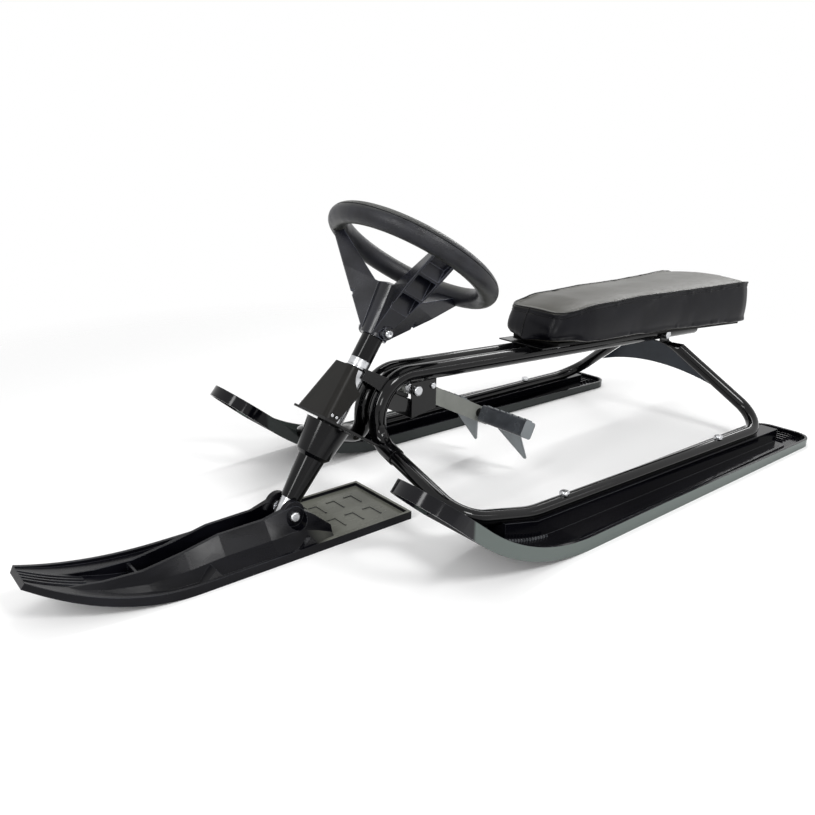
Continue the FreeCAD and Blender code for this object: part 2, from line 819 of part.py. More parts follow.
def lower_bush():
    low = head_plate_along
    return bush(low - bush_flange_thickness, low, low + bush_length)


def cover_block(inset, low, high, rear):
    """A wedge with the cover's outline, with its two front corners rounded."""
    rings = []
    for along in (low, high):
        half, front = cover_size(along)
        half -= inset
        front -= inset
        rings.append(Part.makePolygon([V(rear, -half, along), V(front, -half, along), V(front, half, along),
                                       V(rear, half, along), V(rear, -half, along)]))
    block = Part.makeLoft(rings, True, True)
    corners = [edge for edge in block.Edges
               if abs(edge.Vertexes[0].Z - edge.Vertexes[1].Z) > overrun and edge.CenterOfMass.x > rear + overrun]
    return block.makeFillet(cover_corner_radius - inset, corners)


def head_cover():
    """Folded sheet round the front of the steering head."""
    low = head_top_along()
    shell = cover_block(0, low, cover_top_along, cover_rear)
    shell = shell.cut(cover_block(cover_thickness, low - overrun, cover_top_along + overrun, cover_rear - overrun))
    wide = 2 * cover_bottom_half_width
    notch_centre = V(cover_notch_ahead, -wide, cover_notch_along)
    shell = shell.cut(Part.makeCylinder(cover_notch_radius, 2 * wide, notch_centre, ACROSS))
    slant = [(cover_rear - overrun, low - overrun), (cover_bottom_rear, low - overrun), (cover_bottom_rear, low),
             (cover_rear, cover_shoulder_along), (cover_rear - overrun, cover_shoulder_along)]
    shell = shell.cut(side_prism(slant, -wide, wide))
    head_space = [(cover_rear - overrun, cover_notch_along), (cover_notch_ahead + cover_notch_radius, cover_notch_along),
                  (cover_notch_ahead + cover_notch_radius, cover_top_along + overrun),
                  (cover_rear - overrun, cover_top_along + overrun)]
    shell = shell.cut(side_prism(head_space, -wide, wide))
    for ahead in rivet_ahead():
        start = V(ahead, -2 * cover_bottom_half_width, rivet_along())
        shell = shell.cut(rod(start, start + ACROSS * (4 * cover_bottom_half_width),
                              cover_rivet_diameter + 2 * weld_gap))
    return on_column(shell)


def cover_rivets():
    """Two rivets each side, through the cover and the tab behind it."""
    half, front = cover_size(rivet_along())
    rivets = []
    for ahead in rivet_ahead():
        seat = V(ahead, half + 2 * weld_gap, rivet_along())
        rivets.append(dome_bolt(seat, ACROSS * -1, cover_rivet_diameter, seat.y - cover_tab_y() + weld_gap,
                                cover_rivet_head_diameter, cover_rivet_head_height))
    return on_column(both_sides(Part.makeCompound(rivets)))


def neck_bracket():
    """Channel between the steering head and the front bends of the rails."""
    top = HEAD.multVec(V(0, 0, head_tube_top_along + neck_head_rise))
    low = HEAD.multVec(V(0, 0, head_tube_top_along + neck_head_rise - neck_head_depth))
    rear_x, rear_top = rail_nose_x - neck_rear_reach, rail_nose_height - neck_rear_drop
    block = side_prism([(rear_x, rear_top), (top.x, top.z), (low.x, low.z), (rear_x, rear_top - neck_rear_depth)],
                       -neck_half_width, neck_half_width)
    slope = math.atan2(top.z - rear_top, top.x - rear_x)
    drop = neck_wall / math.cos(slope)
    reach = low.x - rear_x
    rise = reach * math.tan(slope)
    hollow = side_prism([(rear_x - reach, rear_top - drop - rise), (low.x + reach, rear_top - drop + 2 * rise),
                         (low.x + reach, 0), (rear_x - reach, 0)],
                        neck_wall - neck_half_width, neck_half_width - neck_wall)
    head_radius = max(head_tube_diameter / 2 + weld_gap, washer_diameter / 2 + running_gap)
    head_space = Part.makeCylinder(head_radius, column_top())
    neck = block.cut(hollow).cut(rail_envelope(weld_gap)).cut(on_column(head_space))
    return max(neck.Solids, key=lambda solid: solid.Volume)


def ring(low, high, outer, inner):
    return Part.makeCylinder(outer / 2, high - low, V(0, 0, low)).cut(
        Part.makeCylinder(inner / 2, high - low, V(0, 0, low)))


def column_bore():
    return column_diameter + 2 * weld_gap


def column_top():
    return hub_low() + column_top_rise


def wheel_along():
    return hub_low() + wheel_rise


def hub_bolt_middle():
    return V(0, 0, hub_low() + hub_bolt_rise)


def hub_bolt_direction():
    turn = math.radians(hub_bolt_angle)
    return V(math.cos(turn), math.sin(turn), 0)


def hub_bolt_hole():
    reach = hub_bolt_direction() * hub_top_diameter
    return rod(hub_bolt_middle() - reach, hub_bolt_middle() + reach, hub_bolt_diameter + 2 * weld_gap)


def steering_column():
    tube = ring(column_low_along, column_top(), column_diameter, column_diameter - 2 * column_wall)
    tube = tube.cut(hub_bolt_hole())
    reach = ACROSS * column_diameter
    return on_column(tube.cut(rod(reach * -1, reach, pivot_bolt_diameter + 2 * running_gap)))


def thrust_low():
    return head_tube_top_along + bush_flange_thickness + running_gap


def thrust_washer():
    return on_column(ring(thrust_low(), thrust_low() + washer_thickness, washer_diameter, column_bore()))


def collar_low():
    return thrust_low() + washer_thickness + weld_gap


def lock_collar():
    return on_column(ring(collar_low(), collar_low() + collar_length, collar_diameter, column_bore()))


def sleeve_low():
    return collar_low() + collar_length + weld_gap


def hub_low():
    return sleeve_low() + sleeve_length + weld_gap


def upper_sleeve():
    return on_column(ring(sleeve_low(), sleeve_low() + sleeve_length, sleeve_diameter, column_bore()))


def spun(points):
    """Turn an outline of (radius, along) points about the column."""
    face = polygon_face([V(radius, 0, along) for radius, along in points])
    return face.revolve(V(0, 0, 0), UP, 360)


def column_boot():
    """Stepped plastic boot over the lower half of the column."""
    top = head_plate_along - bush_flange_thickness - running_gap
    step = boot_step_along
    skirt = (boot_step_high_diameter - boot_step_low_diameter) / 2
    outer = [(boot_low_diameter / 2, boot_low_along), (boot_step_low_diameter / 2, step),
             (boot_step_high_diameter / 2, step + skirt), (boot_top_diameter / 2, top)]
    inner = [(boot_top_diameter / 2 - boot_wall, top), (boot_step_high_diameter / 2 - boot_wall, step + 2 * skirt),
             (column_bore() / 2, step + skirt), (column_bore() / 2, boot_low_along)]
    return on_column(spun(outer + inner))


def turned(shape, angle):
    copy = shape.copy()
    copy.rotate(V(0, 0, 0), UP, angle)
    return copy


def spoke_angles():
    """Spokes stand evenly round the wheel, the first towards the rider."""
    return [180 - spoke_clock_angle + 360 * step / spoke_count for step in range(spoke_count)]


def spoke(gap):
    """One spoke along +X: a fin from the foot of the hub up to the rim, hollow and ribbed in its outer part."""
    root, foot, edge, rim = hub_low_diameter / 4, hub_low_diameter / 2, hub_top_diameter / 2, wheel_radius
    top, high = hub_low() + hub_length, wheel_along()
    low, low_rim = top - spoke_root_depth, wheel_along() - spoke_rim_depth
    half, narrow = spoke_width / 2 + gap, spoke_foot_width / 2 + gap
    side = side_prism([(root, low - gap), (root, top + gap), (edge, top + gap), (rim, high + gap),
                       (rim, low_rim - gap), (foot, low - gap)], -half, half)
    taper = polygon_face([V(root, -narrow, low - gap), V(root, -half, top), V(root, -half, high + gap),
                          V(root, half, high + gap), V(root, half, top), V(root, narrow, low - gap)])
    body = side.common(taper.extrude(V(rim, 0, 0)))
    if gap:
        return body
    inner = half - spoke_wall
    web = 2 * spoke_wall
    start = root + (rim - root) * spoke_pocket_share
    start_top = top + (high - top) * (start - edge) / (rim - edge)
    pocket = side_prism([(start, low), (start, start_top - web), (rim, high - web), (rim, low)], -inner, inner)
    ribs = []
    for share in spoke_rib_shares:
        slab = Part.makeBox(spoke_rib_thickness, 2 * inner, high, V(start + (rim - start) * share, -inner, 0))
        ribs.append(body.common(slab))
    return fused([body.cut(pocket)] + ribs)


def hub_body():
    """Funnel round the column's top."""
    low, high = hub_low(), hub_low() + hub_length
    return spun([(0, low), (hub_low_diameter / 2, low), (hub_top_diameter / 2, high),
                 (hub_top_diameter / 3, high + hub_dome), (0, high + hub_dome)])


def wheel_spider():
    """Moulded hub with bolt bosses, three spokes and the hoop inside the grip."""
    hoop = Part.makeTorus(wheel_radius, core_diameter / 2, V(0, 0, wheel_along()))
    middle, reach = hub_bolt_middle(), hub_bolt_direction() * hub_boss_half_length
    boss = rod(middle - reach, middle + reach, hub_boss_diameter)
    spider = fused([hub_body(), boss, hoop] + [turned(spoke(0), angle) for angle in spoke_angles()])
    for side in (1, -1):
        spider = spider.cut(rod(middle + reach * side, middle + reach * (2 * side), hub_boss_diameter))
    bore = Part.makeCylinder(column_bore() / 2, column_top() + weld_gap)
    return on_column(spider.cut(bore).cut(hub_bolt_hole()))


def rim_grip():
    """Soft ring over the hoop, with a moulded groove round it."""
    centre = V(0, 0, wheel_along())
    grip = Part.makeTorus(wheel_radius, grip_diameter / 2, centre)
    grip = grip.cut(Part.makeTorus(wheel_radius, core_diameter / 2 + weld_gap, centre))
    for angle in spoke_angles():
        grip = grip.cut(turned(spoke(weld_gap), angle))
    lift = math.radians(grip_groove_angle)
    middle = centre + V(wheel_radius + grip_diameter / 2 * math.cos(lift), 0, grip_diameter / 2 * math.sin(lift))
    out = V(math.cos(lift), 0, math.sin(lift)) * grip_groove_depth
    along = V(-math.sin(lift), 0, math.cos(lift)) * (grip_groove_width / 2)
    groove = polygon_face([middle - out + along, middle + out + along, middle + out - along, middle - out - along])
    grip = grip.cut(groove.revolve(V(0, 0, 0), UP, 360))
    return on_column(max(grip.Solids, key=lambda solid: solid.Volume))


def hub_bolt():
    direction = hub_bolt_direction()
    seat = hub_bolt_middle() + direction * hub_boss_half_length
    bolt = dome_bolt(seat, direction * -1, hub_bolt_diameter, 2 * hub_boss_half_length + hub_nut_height,
                     hub_bolt_head_diameter, hub_bolt_head_height)
    socket = hexagon(seat + direction * (hub_bolt_head_height / 2), direction, hub_bolt_socket_diameter,
                     hub_bolt_head_height)
    return on_column(bolt.cut(socket))


def hub_nut():
    direction = hub_bolt_direction()
    seat = hub_bolt_middle() - direction * hub_boss_half_length
    return on_column(nut(seat, direction * -1, hub_nut_flats, hub_nut_height, hub_bolt_diameter))


def front_slab(low, high):
    return sole_slab(front_tail_x, front_flat_x, front_curve_radius, front_rise_angle, front_tip_x, low, high,
                     front_width)


def front_outline(inset):
    """Plan of the front ski as a tall prism: square tail and a nose drawn in by two arcs."""
    half, tip = front_width / 2 - inset, front_tip_width / 2 - inset
    tail, nose, reach = front_tail_x + inset, front_tip_x - inset, front_tip_x + front_rim
    run = reach - front_taper_x
    drop = half - tip
    radius = (run * run + drop * drop) / (2 * drop)
    turn = math.asin(run / radius) / 2
    bow = V(front_taper_x + radius * math.sin(turn), half - radius + radius * math.cos(turn), 0)
    left = Part.Arc(V(front_taper_x, half, 0), bow, V(reach, tip, 0)).toShape()
    right = Part.Arc(V(front_taper_x, -half, 0), V(bow.x, -bow.y, 0), V(reach, -tip, 0)).toShape()
    edges = [Part.LineSegment(V(tail, half, 0), V(front_taper_x, half, 0)).toShape(), left,
             Part.LineSegment(V(reach, tip, 0), V(reach, -tip, 0)).toShape(), right,
             Part.LineSegment(V(front_taper_x, -half, 0), V(tail, -half, 0)).toShape(),
             Part.LineSegment(V(tail, -half, 0), V(tail, half, 0)).toShape()]
    face = Part.Face(Part.Wire(Part.__sortEdges__(edges)))
    face.translate(UP * -overrun)
    prism = face.extrude(UP * (front_curve_radius + 2 * overrun))
    keep = Part.makeBox(nose - tail, 2 * front_width, 2 * front_curve_radius,
                        V(tail, -front_width, -front_curve_radius))
    return prism.common(keep)


def front_floor_height(x):
    """Top of the front ski's floor at a place along X."""
    ahead = max(x - front_flat_x, 0)
    inner = front_curve_radius - front_floor
    return front_curve_radius - math.sqrt(inner * inner - ahead * ahead)


def keel():
    """Raised ridge beside the trough: upright inside, sloping down to the deck outside."""
    rings = []
    inside = keel_gap / 2
    run = keel_nose_x - keel_tail_x
    for station, rise, crest, base in zip(keel_station_shares, keel_height_shares, keel_crest_shares,
                                          keel_base_shares):
        x = keel_tail_x + run * station
        floor = front_floor_height(x) - front_floor / 2
        top = front_floor_height(x) + keel_height * rise
        crest_y, base_y = inside + keel_crest * crest, inside + keel_base * base
        waist = V(x, crest_y + (base_y - crest_y) * keel_bulge_share, floor + (top - floor) * keel_bulge_share)
        rings.append(Part.makePolygon([V(x, inside, floor), V(x, inside, top), V(x, crest_y, top), waist,
                                       V(x, base_y, floor), V(x, inside, floor)]))
    return Part.makeLoft(rings, True, True)


def keel_gussets():
    """Small wedges on the outside of the ridge, down to the rim."""
    wedges = []
    rim_y = front_width / 2 - front_lip / 2
    for x in gusset_xs:
        low = front_floor / 2
        points = [V(x, rim_y, low), V(x + gusset_length, rim_y, low),
                  V(x + gusset_length / 4, rim_y - gusset_width, front_floor + gusset_height)]
        back = V(0, -2 * gusset_width, 0)
        base = polygon_face(points)
        wedges.append(base.extrude(back))
    return wedges


def front_treads():
    """L-shaped raised treads on the rear deck."""
    low = front_floor / 2
    height = front_floor / 2 + tread_height
    middle_x = (front_tail_x + keel_tail_x) / 2
    treads = []
    for row in range(tread_rows):
        for column in range(tread_columns):
            x = middle_x + (row - (tread_rows - 1) / 2) * tread_pitch_x
            y = (column - (tread_columns - 1) / 2) * tread_pitch_y
            treads.append(Part.makeBox(tread_bar, tread_long, height, V(x, y - tread_long / 2, low)))
            treads.append(Part.makeBox(tread_short, tread_bar, height, V(x, y - tread_long / 2, low)))
    return treads


def tip_ridges():
    """Fine ridges along the upturned nose."""
    slab = front_slab(front_floor / 2, front_floor + tip_ridge_height)
    pitch = front_tip_width / tip_ridge_count
    ridges = []
    for step in range(tip_ridge_count):
        y = (step - (tip_ridge_count - 1) / 2) * pitch
        strip = Part.makeBox(tip_ridge_length, tip_ridge_width, front_curve_radius,
                             V(front_tip_x - front_lip - tip_ridge_length, y - tip_ridge_width / 2, 0))
        ridges.append(slab.common(strip))
    return ridges


def ear_face_y():
    return ear_outer + ear_boss_height


def lip_taper():
    """What is taken off the front ski's lip so that it gets lower towards the tip."""
    tip = sole_edges(0, front_flat_x, front_curve_radius, front_rise_angle, front_tip_x, front_tip_rim)[4]
    run, rise = tip.x - front_flat_x, tip.z - front_rim
    radius = (run * run + rise * rise) / (2 * rise)
    middle = V(front_flat_x, 0, front_rim + radius)
    reach = ACROSS * front_width
    return rod(middle - reach, middle + reach, 2 * radius)


def front_ski():
    base = front_slab(0, front_rim).common(front_outline(0)).cut(lip_taper())
    tray = front_slab(front_floor, 2 * front_rim).common(front_outline(front_lip))
    pivot = V(pivot_x, 0, pivot_height)
    inner, outer = ACROSS * (keel_gap / 2), ACROSS * ear_outer
    raised = pivot + UP * ear_rise
    ear = fused([rod(raised + inner, raised + outer, ear_diameter),
                 rod(pivot + inner, pivot + ACROSS * ear_face_y(), ear_boss_diameter)])
    rib = front_slab(front_floor / 2, front_floor + keel_height / 4).common(
        Part.makeBox(keel_rib_thickness, keel_gap, front_curve_radius, V(keel_rib_x, -keel_gap / 2, 0)))
    halves = [keel(), ear] + keel_gussets()
    halves += [mirrored(piece) for piece in halves]
    body = fused([base.cut(tray)] + halves + [rib] + front_treads() + tip_ridges())
    body = body.common(front_slab(0, front_curve_radius / 2).common(front_outline(0)))
    reach = ACROSS * front_width
    spot_face = rod(pivot + ACROSS * ear_face_y(), pivot + reach, ear_boss_diameter)
    body = body.cut(both_sides(spot_face))
    return body.cut(rod(pivot - reach, pivot + reach, pivot_bolt_diameter + 2 * weld_gap)).removeSplitter()


def pivot_bolt():
    seat = V(pivot_x, ear_face_y(), pivot_height)
    return dome_bolt(seat, ACROSS * -1, pivot_bolt_diameter, 2 * ear_face_y() + pivot_nut_height,
                     pivot_bolt_head_diameter, pivot_bolt_head_height)


def pivot_nut():
    seat = V(pivot_x, -ear_face_y(), pivot_height)
    return nut(seat, ACROSS * -1, pivot_nut_flats, pivot_nut_height, pivot_bolt_diameter)


def pivot_washers():
    """Washers between the column and the ears of the front ski."""
    inner = V(pivot_x, column_diameter / 2 + running_gap, pivot_height)
    outer = V(pivot_x, keel_gap / 2 - weld_gap, pivot_height)
    bore = pivot_bolt_diameter + 2 * weld_gap
    return both_sides(rod(inner, outer, pivot_washer_diameter).cut(rod(inner, outer, bore)))


def brake_bracket():
    """Plates on the outsides of the rails, joined by a front plate, that carry the brake's pivot."""
    cheek = side_prism([(bracket_rear_x, bracket_rear_low_height), (bracket_front_x, bracket_low_height),
                        (bracket_front_x, bracket_top_height), (bracket_rear_x, bracket_top_height)],
                       tab_inner_y, bracket_half_width)
    front = Part.makeBox(bracket_wall, 2 * bracket_half_width, bracket_front_plate_height,
                         V(bracket_front_x - bracket_wall, -bracket_half_width, bracket_low_height))
    bracket = fused([cheek, mirrored(cheek), front])
    pivot = V(brake_pivot_x, 0, brake_pivot_height)
    reach = ACROSS * (2 * bracket_half_width)
    bracket = bracket.cut(rod(pivot - reach, pivot + reach, brake_bolt_diameter + 2 * weld_gap))
    anchor = V(anchor_x, 0, anchor_height)
    return bracket.cut(rod(anchor, anchor + reach, anchor_diameter + 2 * weld_gap))


def brake_bolt():
    seat = V(brake_pivot_x, bracket_half_width, brake_pivot_height)
    return dome_bolt(seat, ACROSS * -1, brake_bolt_diameter, 2 * bracket_half_width + brake_nut_height,
                     brake_bolt_head_diameter, brake_bolt_head_height)


def brake_nut():
    seat = V(brake_pivot_x, -bracket_half_width, brake_pivot_height)
    return nut(seat, ACROSS * -1, brake_bolt_head_diameter, brake_nut_height, brake_bolt_diameter)


def spring_anchor():
    seat = V(anchor_x, bracket_half_width, anchor_height)
    return dome_bolt(seat, ACROSS * -1, anchor_diameter, anchor_length, anchor_head_diameter, anchor_head_height)


def claw_down():
    return V(claw_tip_x - claw_root_x, 0, claw_tip_height - claw_root_height)


def claw_plate(gap):
    """Sheet across the end of the brake arm with two pointed claws."""
    length = claw_down().Length
    tip, half_tip = claw_tip_y, claw_tip_width / 2
    flank = claw_web / 2
    right = [(claw_inner_y, claw_web), (tip - half_tip, length), (tip + half_tip, length),
             (claw_half_width, flank), (claw_half_width, 0)]
    left = [(-y, along) for y, along in reversed(right)]
    down = claw_down().normalize()
    normal = V(-down.z, 0, down.x)
    root = V(claw_root_x, 0, claw_root_height) - normal * (claw_thickness / 2 + gap) - down * gap
    face = polygon_face([root + ACROSS * y + down * along for y, along in left + right])
    return face.extrude(normal * (claw_thickness + 2 * gap))


def brake_arm():
    """Pressed channel from the pivot back to the pedal bar."""
    boss = arm_boss_diameter / 2
    fall = math.tan(math.radians(arm_slope_angle)) * (arm_top_x - arm_end_x)
    end_top = arm_top_height - fall
    outline = [(brake_pivot_x, brake_pivot_height + boss), (arm_top_x, arm_top_height), (arm_end_x, end_top),
               (arm_end_x, end_top - arm_depth), (brake_pivot_x, brake_pivot_height - boss)]
    half = arm_width / 2
    pivot = V(brake_pivot_x, 0, brake_pivot_height)
    body = fused([side_prism(outline, -half, half), rod(pivot - ACROSS * half, pivot + ACROSS * half, 2 * boss)])
    inner = half - arm_wall
    web = arm_wall
    hollow = side_prism([(brake_pivot_x + 2 * boss, brake_pivot_height + boss - web),
                         (brake_pivot_x, brake_pivot_height + boss - web), (arm_top_x, arm_top_height - web),
                         (arm_end_x - overrun, end_top - web), (arm_end_x - overrun, 0),
                         (brake_pivot_x + 2 * boss, 0)], -inner, inner)
    arm = body.cut(hollow)
    bar = V(pedal_bar_x, 0, pedal_bar_height)
    reach = ACROSS * arm_width
    arm = arm.cut(rod(bar - reach, bar + reach, pedal_bar_diameter + 2 * weld_gap))
    arm = arm.cut(rod(pivot - reach, pivot + reach, brake_bolt_diameter + 2 * running_gap))
    arm = arm.cut(claw_plate(weld_gap))
    return max(arm.Solids, key=lambda solid: solid.Volume)


def pedal_bar():
    middle = V(pedal_bar_x, 0, pedal_bar_height)
    reach = ACROSS * pedal_bar_half_length
    return rod(middle - reach, middle + reach, pedal_bar_diameter)


def pedal():
    """Ribbed plastic foot pedal pushed on to the end of the bar."""
    length = pedal_outer_y - pedal_inner_y
    start = V(-pedal_depth / 2, pedal_inner_y, -pedal_thickness / 2)
    block = Part.makeBox(pedal_depth, length, pedal_thickness, start)
    long_edges = [edge for edge in block.Edges if abs(edge.tangentAt(edge.FirstParameter).y) > 0.5]
    block = block.makeFillet(pedal_round, long_edges)
    flat = pedal_depth - 2 * pedal_round
    ribs = []
    for step in range(pedal_rib_count):
        y = pedal_inner_y + (step + 0.5) * length / pedal_rib_count - pedal_rib_width / 2
        ribs.append(Part.makeBox(flat, pedal_rib_width, pedal_thickness / 2 + pedal_rib_height,
                                 V(-flat / 2, y, 0)))
    end = ACROSS * (pedal_bar_half_length + weld_gap)
    body = fused([block] + ribs).cut(rod(V(0, 0, 0), end, pedal_bar_diameter + 2 * weld_gap))
    body.Placement = FreeCAD.Placement(V(pedal_bar_x, 0, pedal_bar_height),
                                       FreeCAD.Rotation(ACROSS, -arm_slope_angle))
    return body


def arc_from(start, heading, end):
    """Arc that leaves start along heading and ends at end."""
    chord = end - start
    lean = heading.getAngle(chord)
    across = chord * (1 / chord.Length)
    side = (heading - across * heading.dot(across)).normalize()
    middle = start + chord * 0.5 + side * (chord.Length / 2 * math.tan(lean / 2))
    return Part.Arc(start, middle, end).toShape()


def biarc(start, heading, end, leaving):
    """Two tangent arcs between two points with given headings."""
    gap = end - start
    total = heading + leaving
    spread = 2 * (1 - heading.dot(leaving))
    reach = (math.sqrt(gap.dot(total) ** 2 + spread * gap.dot(gap)) - gap.dot(total)) / spread
    joint = (start + heading * reach + end - leaving * reach) * 0.5
    arrival = (end - leaving * reach - joint).normalize()
    return [arc_from(start, heading, joint), arc_from(joint, arrival, end)]


def least_wire_gap(path, skip):
    """Least clear distance between turns of a wire, from points along its centre line."""
    points = path.discretize(Distance=spring_wire / 2)
    apart = int(2 * skip / spring_wire)
    least = min((points[one] - points[two]).Length
                for one in range(len(points)) for two in range(one + apart, len(points)))
    return least - spring_wire


def brake_spring():
    """Torsion spring round the pivot bolt: a leg along the arm, the turns, and a leg over the anchor."""
    radius = spring_mean_diameter / 2
    first_y = arm_width / 2 + running_gap + spring_wire / 2
    rise = spring_pitch / (2 * math.pi * radius)
    quarters = [math.pi + math.pi / 2 * step for step in range(4 * spring_turns + 3)]

    def place(turn):
        advance = spring_pitch * (turn - quarters[0]) / (2 * math.pi)
        return V(brake_pivot_x - radius * math.sin(turn), first_y + advance,
                 brake_pivot_height + radius * math.cos(turn))

    def heading(turn):
        return V(-math.cos(turn), rise, -math.sin(turn)).normalize()

    first, last = quarters[0], quarters[-1]
    arm_end = place(first) - V(1, 0, 0) * spring_arm_leg
    anchor_end = place(last) - V(1, 0, 0) * spring_anchor_leg
    edges = [Part.LineSegment(arm_end, place(first)).toShape()]
    for turn, following in zip(quarters, quarters[1:]):
        into = V(1, 0, 0) if turn == first else heading(turn)
        out = V(-1, 0, 0) if following == last else heading(following)
        edges += biarc(place(turn), into, place(following), out)
    edges.append(Part.LineSegment(place(last), anchor_end).toShape())
    path = Part.Wire(edges)
    print("brake_spring least gap between turns", round(least_wire_gap(path, math.pi * radius), 2))
    circle = Part.Wire(Part.makeCircle(spring_wire / 2, arm_end, V(1, 0, 0)))
    return path.makePipeShell([circle], True, False)


def on_rail(shape, x):
    """Move a piece drawn on level rails to its place on the sloping rails."""
    placed = shape.copy()
    move = FreeCAD.Placement(V(x, 0, rail_height(x)), FreeCAD.Rotation(ACROSS, -rail_angle))
    placed.Placement = move.multiply(placed.Placement)
    return placed


def seat_bracket_low():
    return rail_diameter / 2 + weld_gap


def seat_board_low():
    return seat_bracket_low() + seat_bracket_thickness


def seat_base():
    return seat_board_low() + seat_board_thickness + running_gap


def seat_screw_places():
    return [V(-seat_bracket_length / 4, side * seat_screw_y, 0) for side in (-1, 1)]


def seat_bracket(x):
    """Cross plate on the rails under the seat."""
    plate = Part.makeBox(seat_bracket_length, 2 * seat_bracket_half_width, seat_bracket_thickness,
                         V(-seat_bracket_length / 2, -seat_bracket_half_width, seat_bracket_low()))
    for place in seat_screw_places():
        plate = plate.cut(rod(place, place + UP * seat_base(), seat_screw_diameter + 2 * weld_gap))
    return on_rail(plate, x)


def seat_board():
    """Board inside the bottom of the cushion."""
    tail = seat_tail_x + seat_board_inset
    nose = seat_nose_x - seat_board_inset
    tail_half = seat_width / 2 - seat_board_side_inset
    nose_half = seat_width / 2 * seat_width_shares[-3] - seat_board_side_inset
    board = plan_prism([(tail, tail_half), (nose, nose_half), (nose, -nose_half), (tail, -tail_half)],
                       seat_board_low(), seat_board_low() + seat_board_thickness)
    board = on_rail(board, 0)
    for x in (seat_front_bracket_x, seat_rear_bracket_x):
        for place in seat_screw_places():
            board = board.cut(on_rail(rod(place, place + UP * (seat_base() + overrun),
                                          seat_screw_diameter + 2 * weld_gap), x))
    return board


def seat_screws():
    screws = []
    for x in (seat_front_bracket_x, seat_rear_bracket_x):
        for place in seat_screw_places():
            seat = place + UP * seat_bracket_low()
            length = seat_bracket_thickness + seat_board_thickness
            screws.append(on_rail(dome_bolt(seat, UP, seat_screw_diameter, length, seat_screw_head_diameter,
                                            seat_screw_head_height), x))
    return Part.makeCompound(screws)


def seat_section(station, thick, wide):
    """One upright section of the cushion: flat base, bulging sides and a crowned top."""
    x = seat_tail_x + (seat_nose_x - seat_tail_x) * station
    base = rail_height(x) + seat_base() / math.cos(math.radians(rail_angle))
    top = base + seat_thickness * thick
    half = seat_width / 2 * wide
    base_half = half + seat_base_flare
    middle = (base + top) / 2
    bulge = half + seat_base_flare / 2 + seat_side_bulge
    low_left, low_right = V(x, base_half, base), V(x, -base_half, base)
    top_left, top_right = V(x, half, top), V(x, -half, top)
    return Part.Wire([Part.LineSegment(low_right, low_left).toShape(),
                      Part.Arc(low_left, V(x, bulge, middle), top_left).toShape(),
                      Part.Arc(top_left, V(x, 0, top + seat_crown * thick), top_right).toShape(),
                      Part.Arc(top_right, V(x, -bulge, middle), low_right).toShape()])


def seat_cushion():
    """Padded seat, wide and high at the tail, narrow and low at the nose."""
    sections = [seat_section(station, thick, wide) for station, thick, wide
                in zip(seat_station_shares, seat_thickness_shares, seat_width_shares)]
    return Part.makeLoft(sections, True, True)


os.makedirs("parts", exist_ok=True)
export_pair("top_rail", rail())
export_pair("runner_tube", runner_tube())
export("rail_end_caps", both_sides(rail_cap()))
export("leg_bolt", leg_bolt())
export("leg_nut", leg_nut())
export("rail_spacer", rail_spacer())
export("rear_arch_panel", arch_panel())
export_pair("rear_ski", rear_ski())
export("ski_bolts", both_sides(ski_bolts()))
export("ski_nuts", both_sides(ski_nuts()))
export("head_plate", head_plate())
export("head_tube", head_tube())
export("upper_bush", upper_bush())
export("lower_bush", lower_bush())
export("head_cover", head_cover())
export("cover_rivets", cover_rivets())
export("neck_bracket", neck_bracket())
export("brake_bracket", brake_bracket())
export("brake_bolt", brake_bolt())
export("brake_nut", brake_nut())
export("spring_anchor", spring_anchor())
export("brake_spring", brake_spring())
export("seat_bracket_front", seat_bracket(seat_front_bracket_x))
export("seat_bracket_rear", seat_bracket(seat_rear_bracket_x))
export("seat_board", seat_board())
export("seat_screws", seat_screws())
export("seat_cushion", seat_cushion())
export("steering_column", steering_column())
export("thrust_washer", thrust_washer())
export("lock_collar", lock_collar())
export("upper_sleeve", upper_sleeve())
export("column_boot", column_boot())
export("wheel_spider", wheel_spider())
export("rim_grip", rim_grip())
export("hub_bolt", hub_bolt())
export("hub_nut", hub_nut())
export("front_ski", front_ski())
export("pivot_bolt", pivot_bolt())
export("pivot_nut", pivot_nut())
export("pivot_washers", pivot_washers())
export("brake_arm", brake_arm())
export("pedal_bar", pedal_bar())
export("claw_plate", claw_plate(0))
export_pair("pedal", pedal())
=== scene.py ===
# %% [markdown]
# # Steering sled
# The imported solids are the fixed frame of this scene: tubes, skis, wheel and brake stand where they were
# designed. Blender adds what solids are poor at: painted, moulded and sewn surfaces, and the padded seat.
# The frame is loaded first.

# %% Load the frame
import json
import math

import bmesh
import bpy
from mathutils import Matrix, Vector
from mathutils.bvhtree import BVHTree
from mathutils.kdtree import KDTree


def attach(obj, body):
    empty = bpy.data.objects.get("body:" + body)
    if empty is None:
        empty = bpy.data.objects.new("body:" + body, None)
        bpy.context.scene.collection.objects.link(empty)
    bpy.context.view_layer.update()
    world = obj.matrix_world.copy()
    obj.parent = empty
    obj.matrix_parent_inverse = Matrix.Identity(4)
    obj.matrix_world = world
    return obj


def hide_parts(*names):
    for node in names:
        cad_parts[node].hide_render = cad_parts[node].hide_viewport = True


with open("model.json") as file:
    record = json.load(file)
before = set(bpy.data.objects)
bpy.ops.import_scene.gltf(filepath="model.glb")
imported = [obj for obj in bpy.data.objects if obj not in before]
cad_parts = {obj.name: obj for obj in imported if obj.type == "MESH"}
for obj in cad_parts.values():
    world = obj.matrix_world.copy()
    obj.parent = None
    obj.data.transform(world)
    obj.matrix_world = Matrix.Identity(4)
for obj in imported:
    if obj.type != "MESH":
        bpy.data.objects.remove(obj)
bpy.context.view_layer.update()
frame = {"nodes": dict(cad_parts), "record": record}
nodes = frame["nodes"]
scene = bpy.context.scene
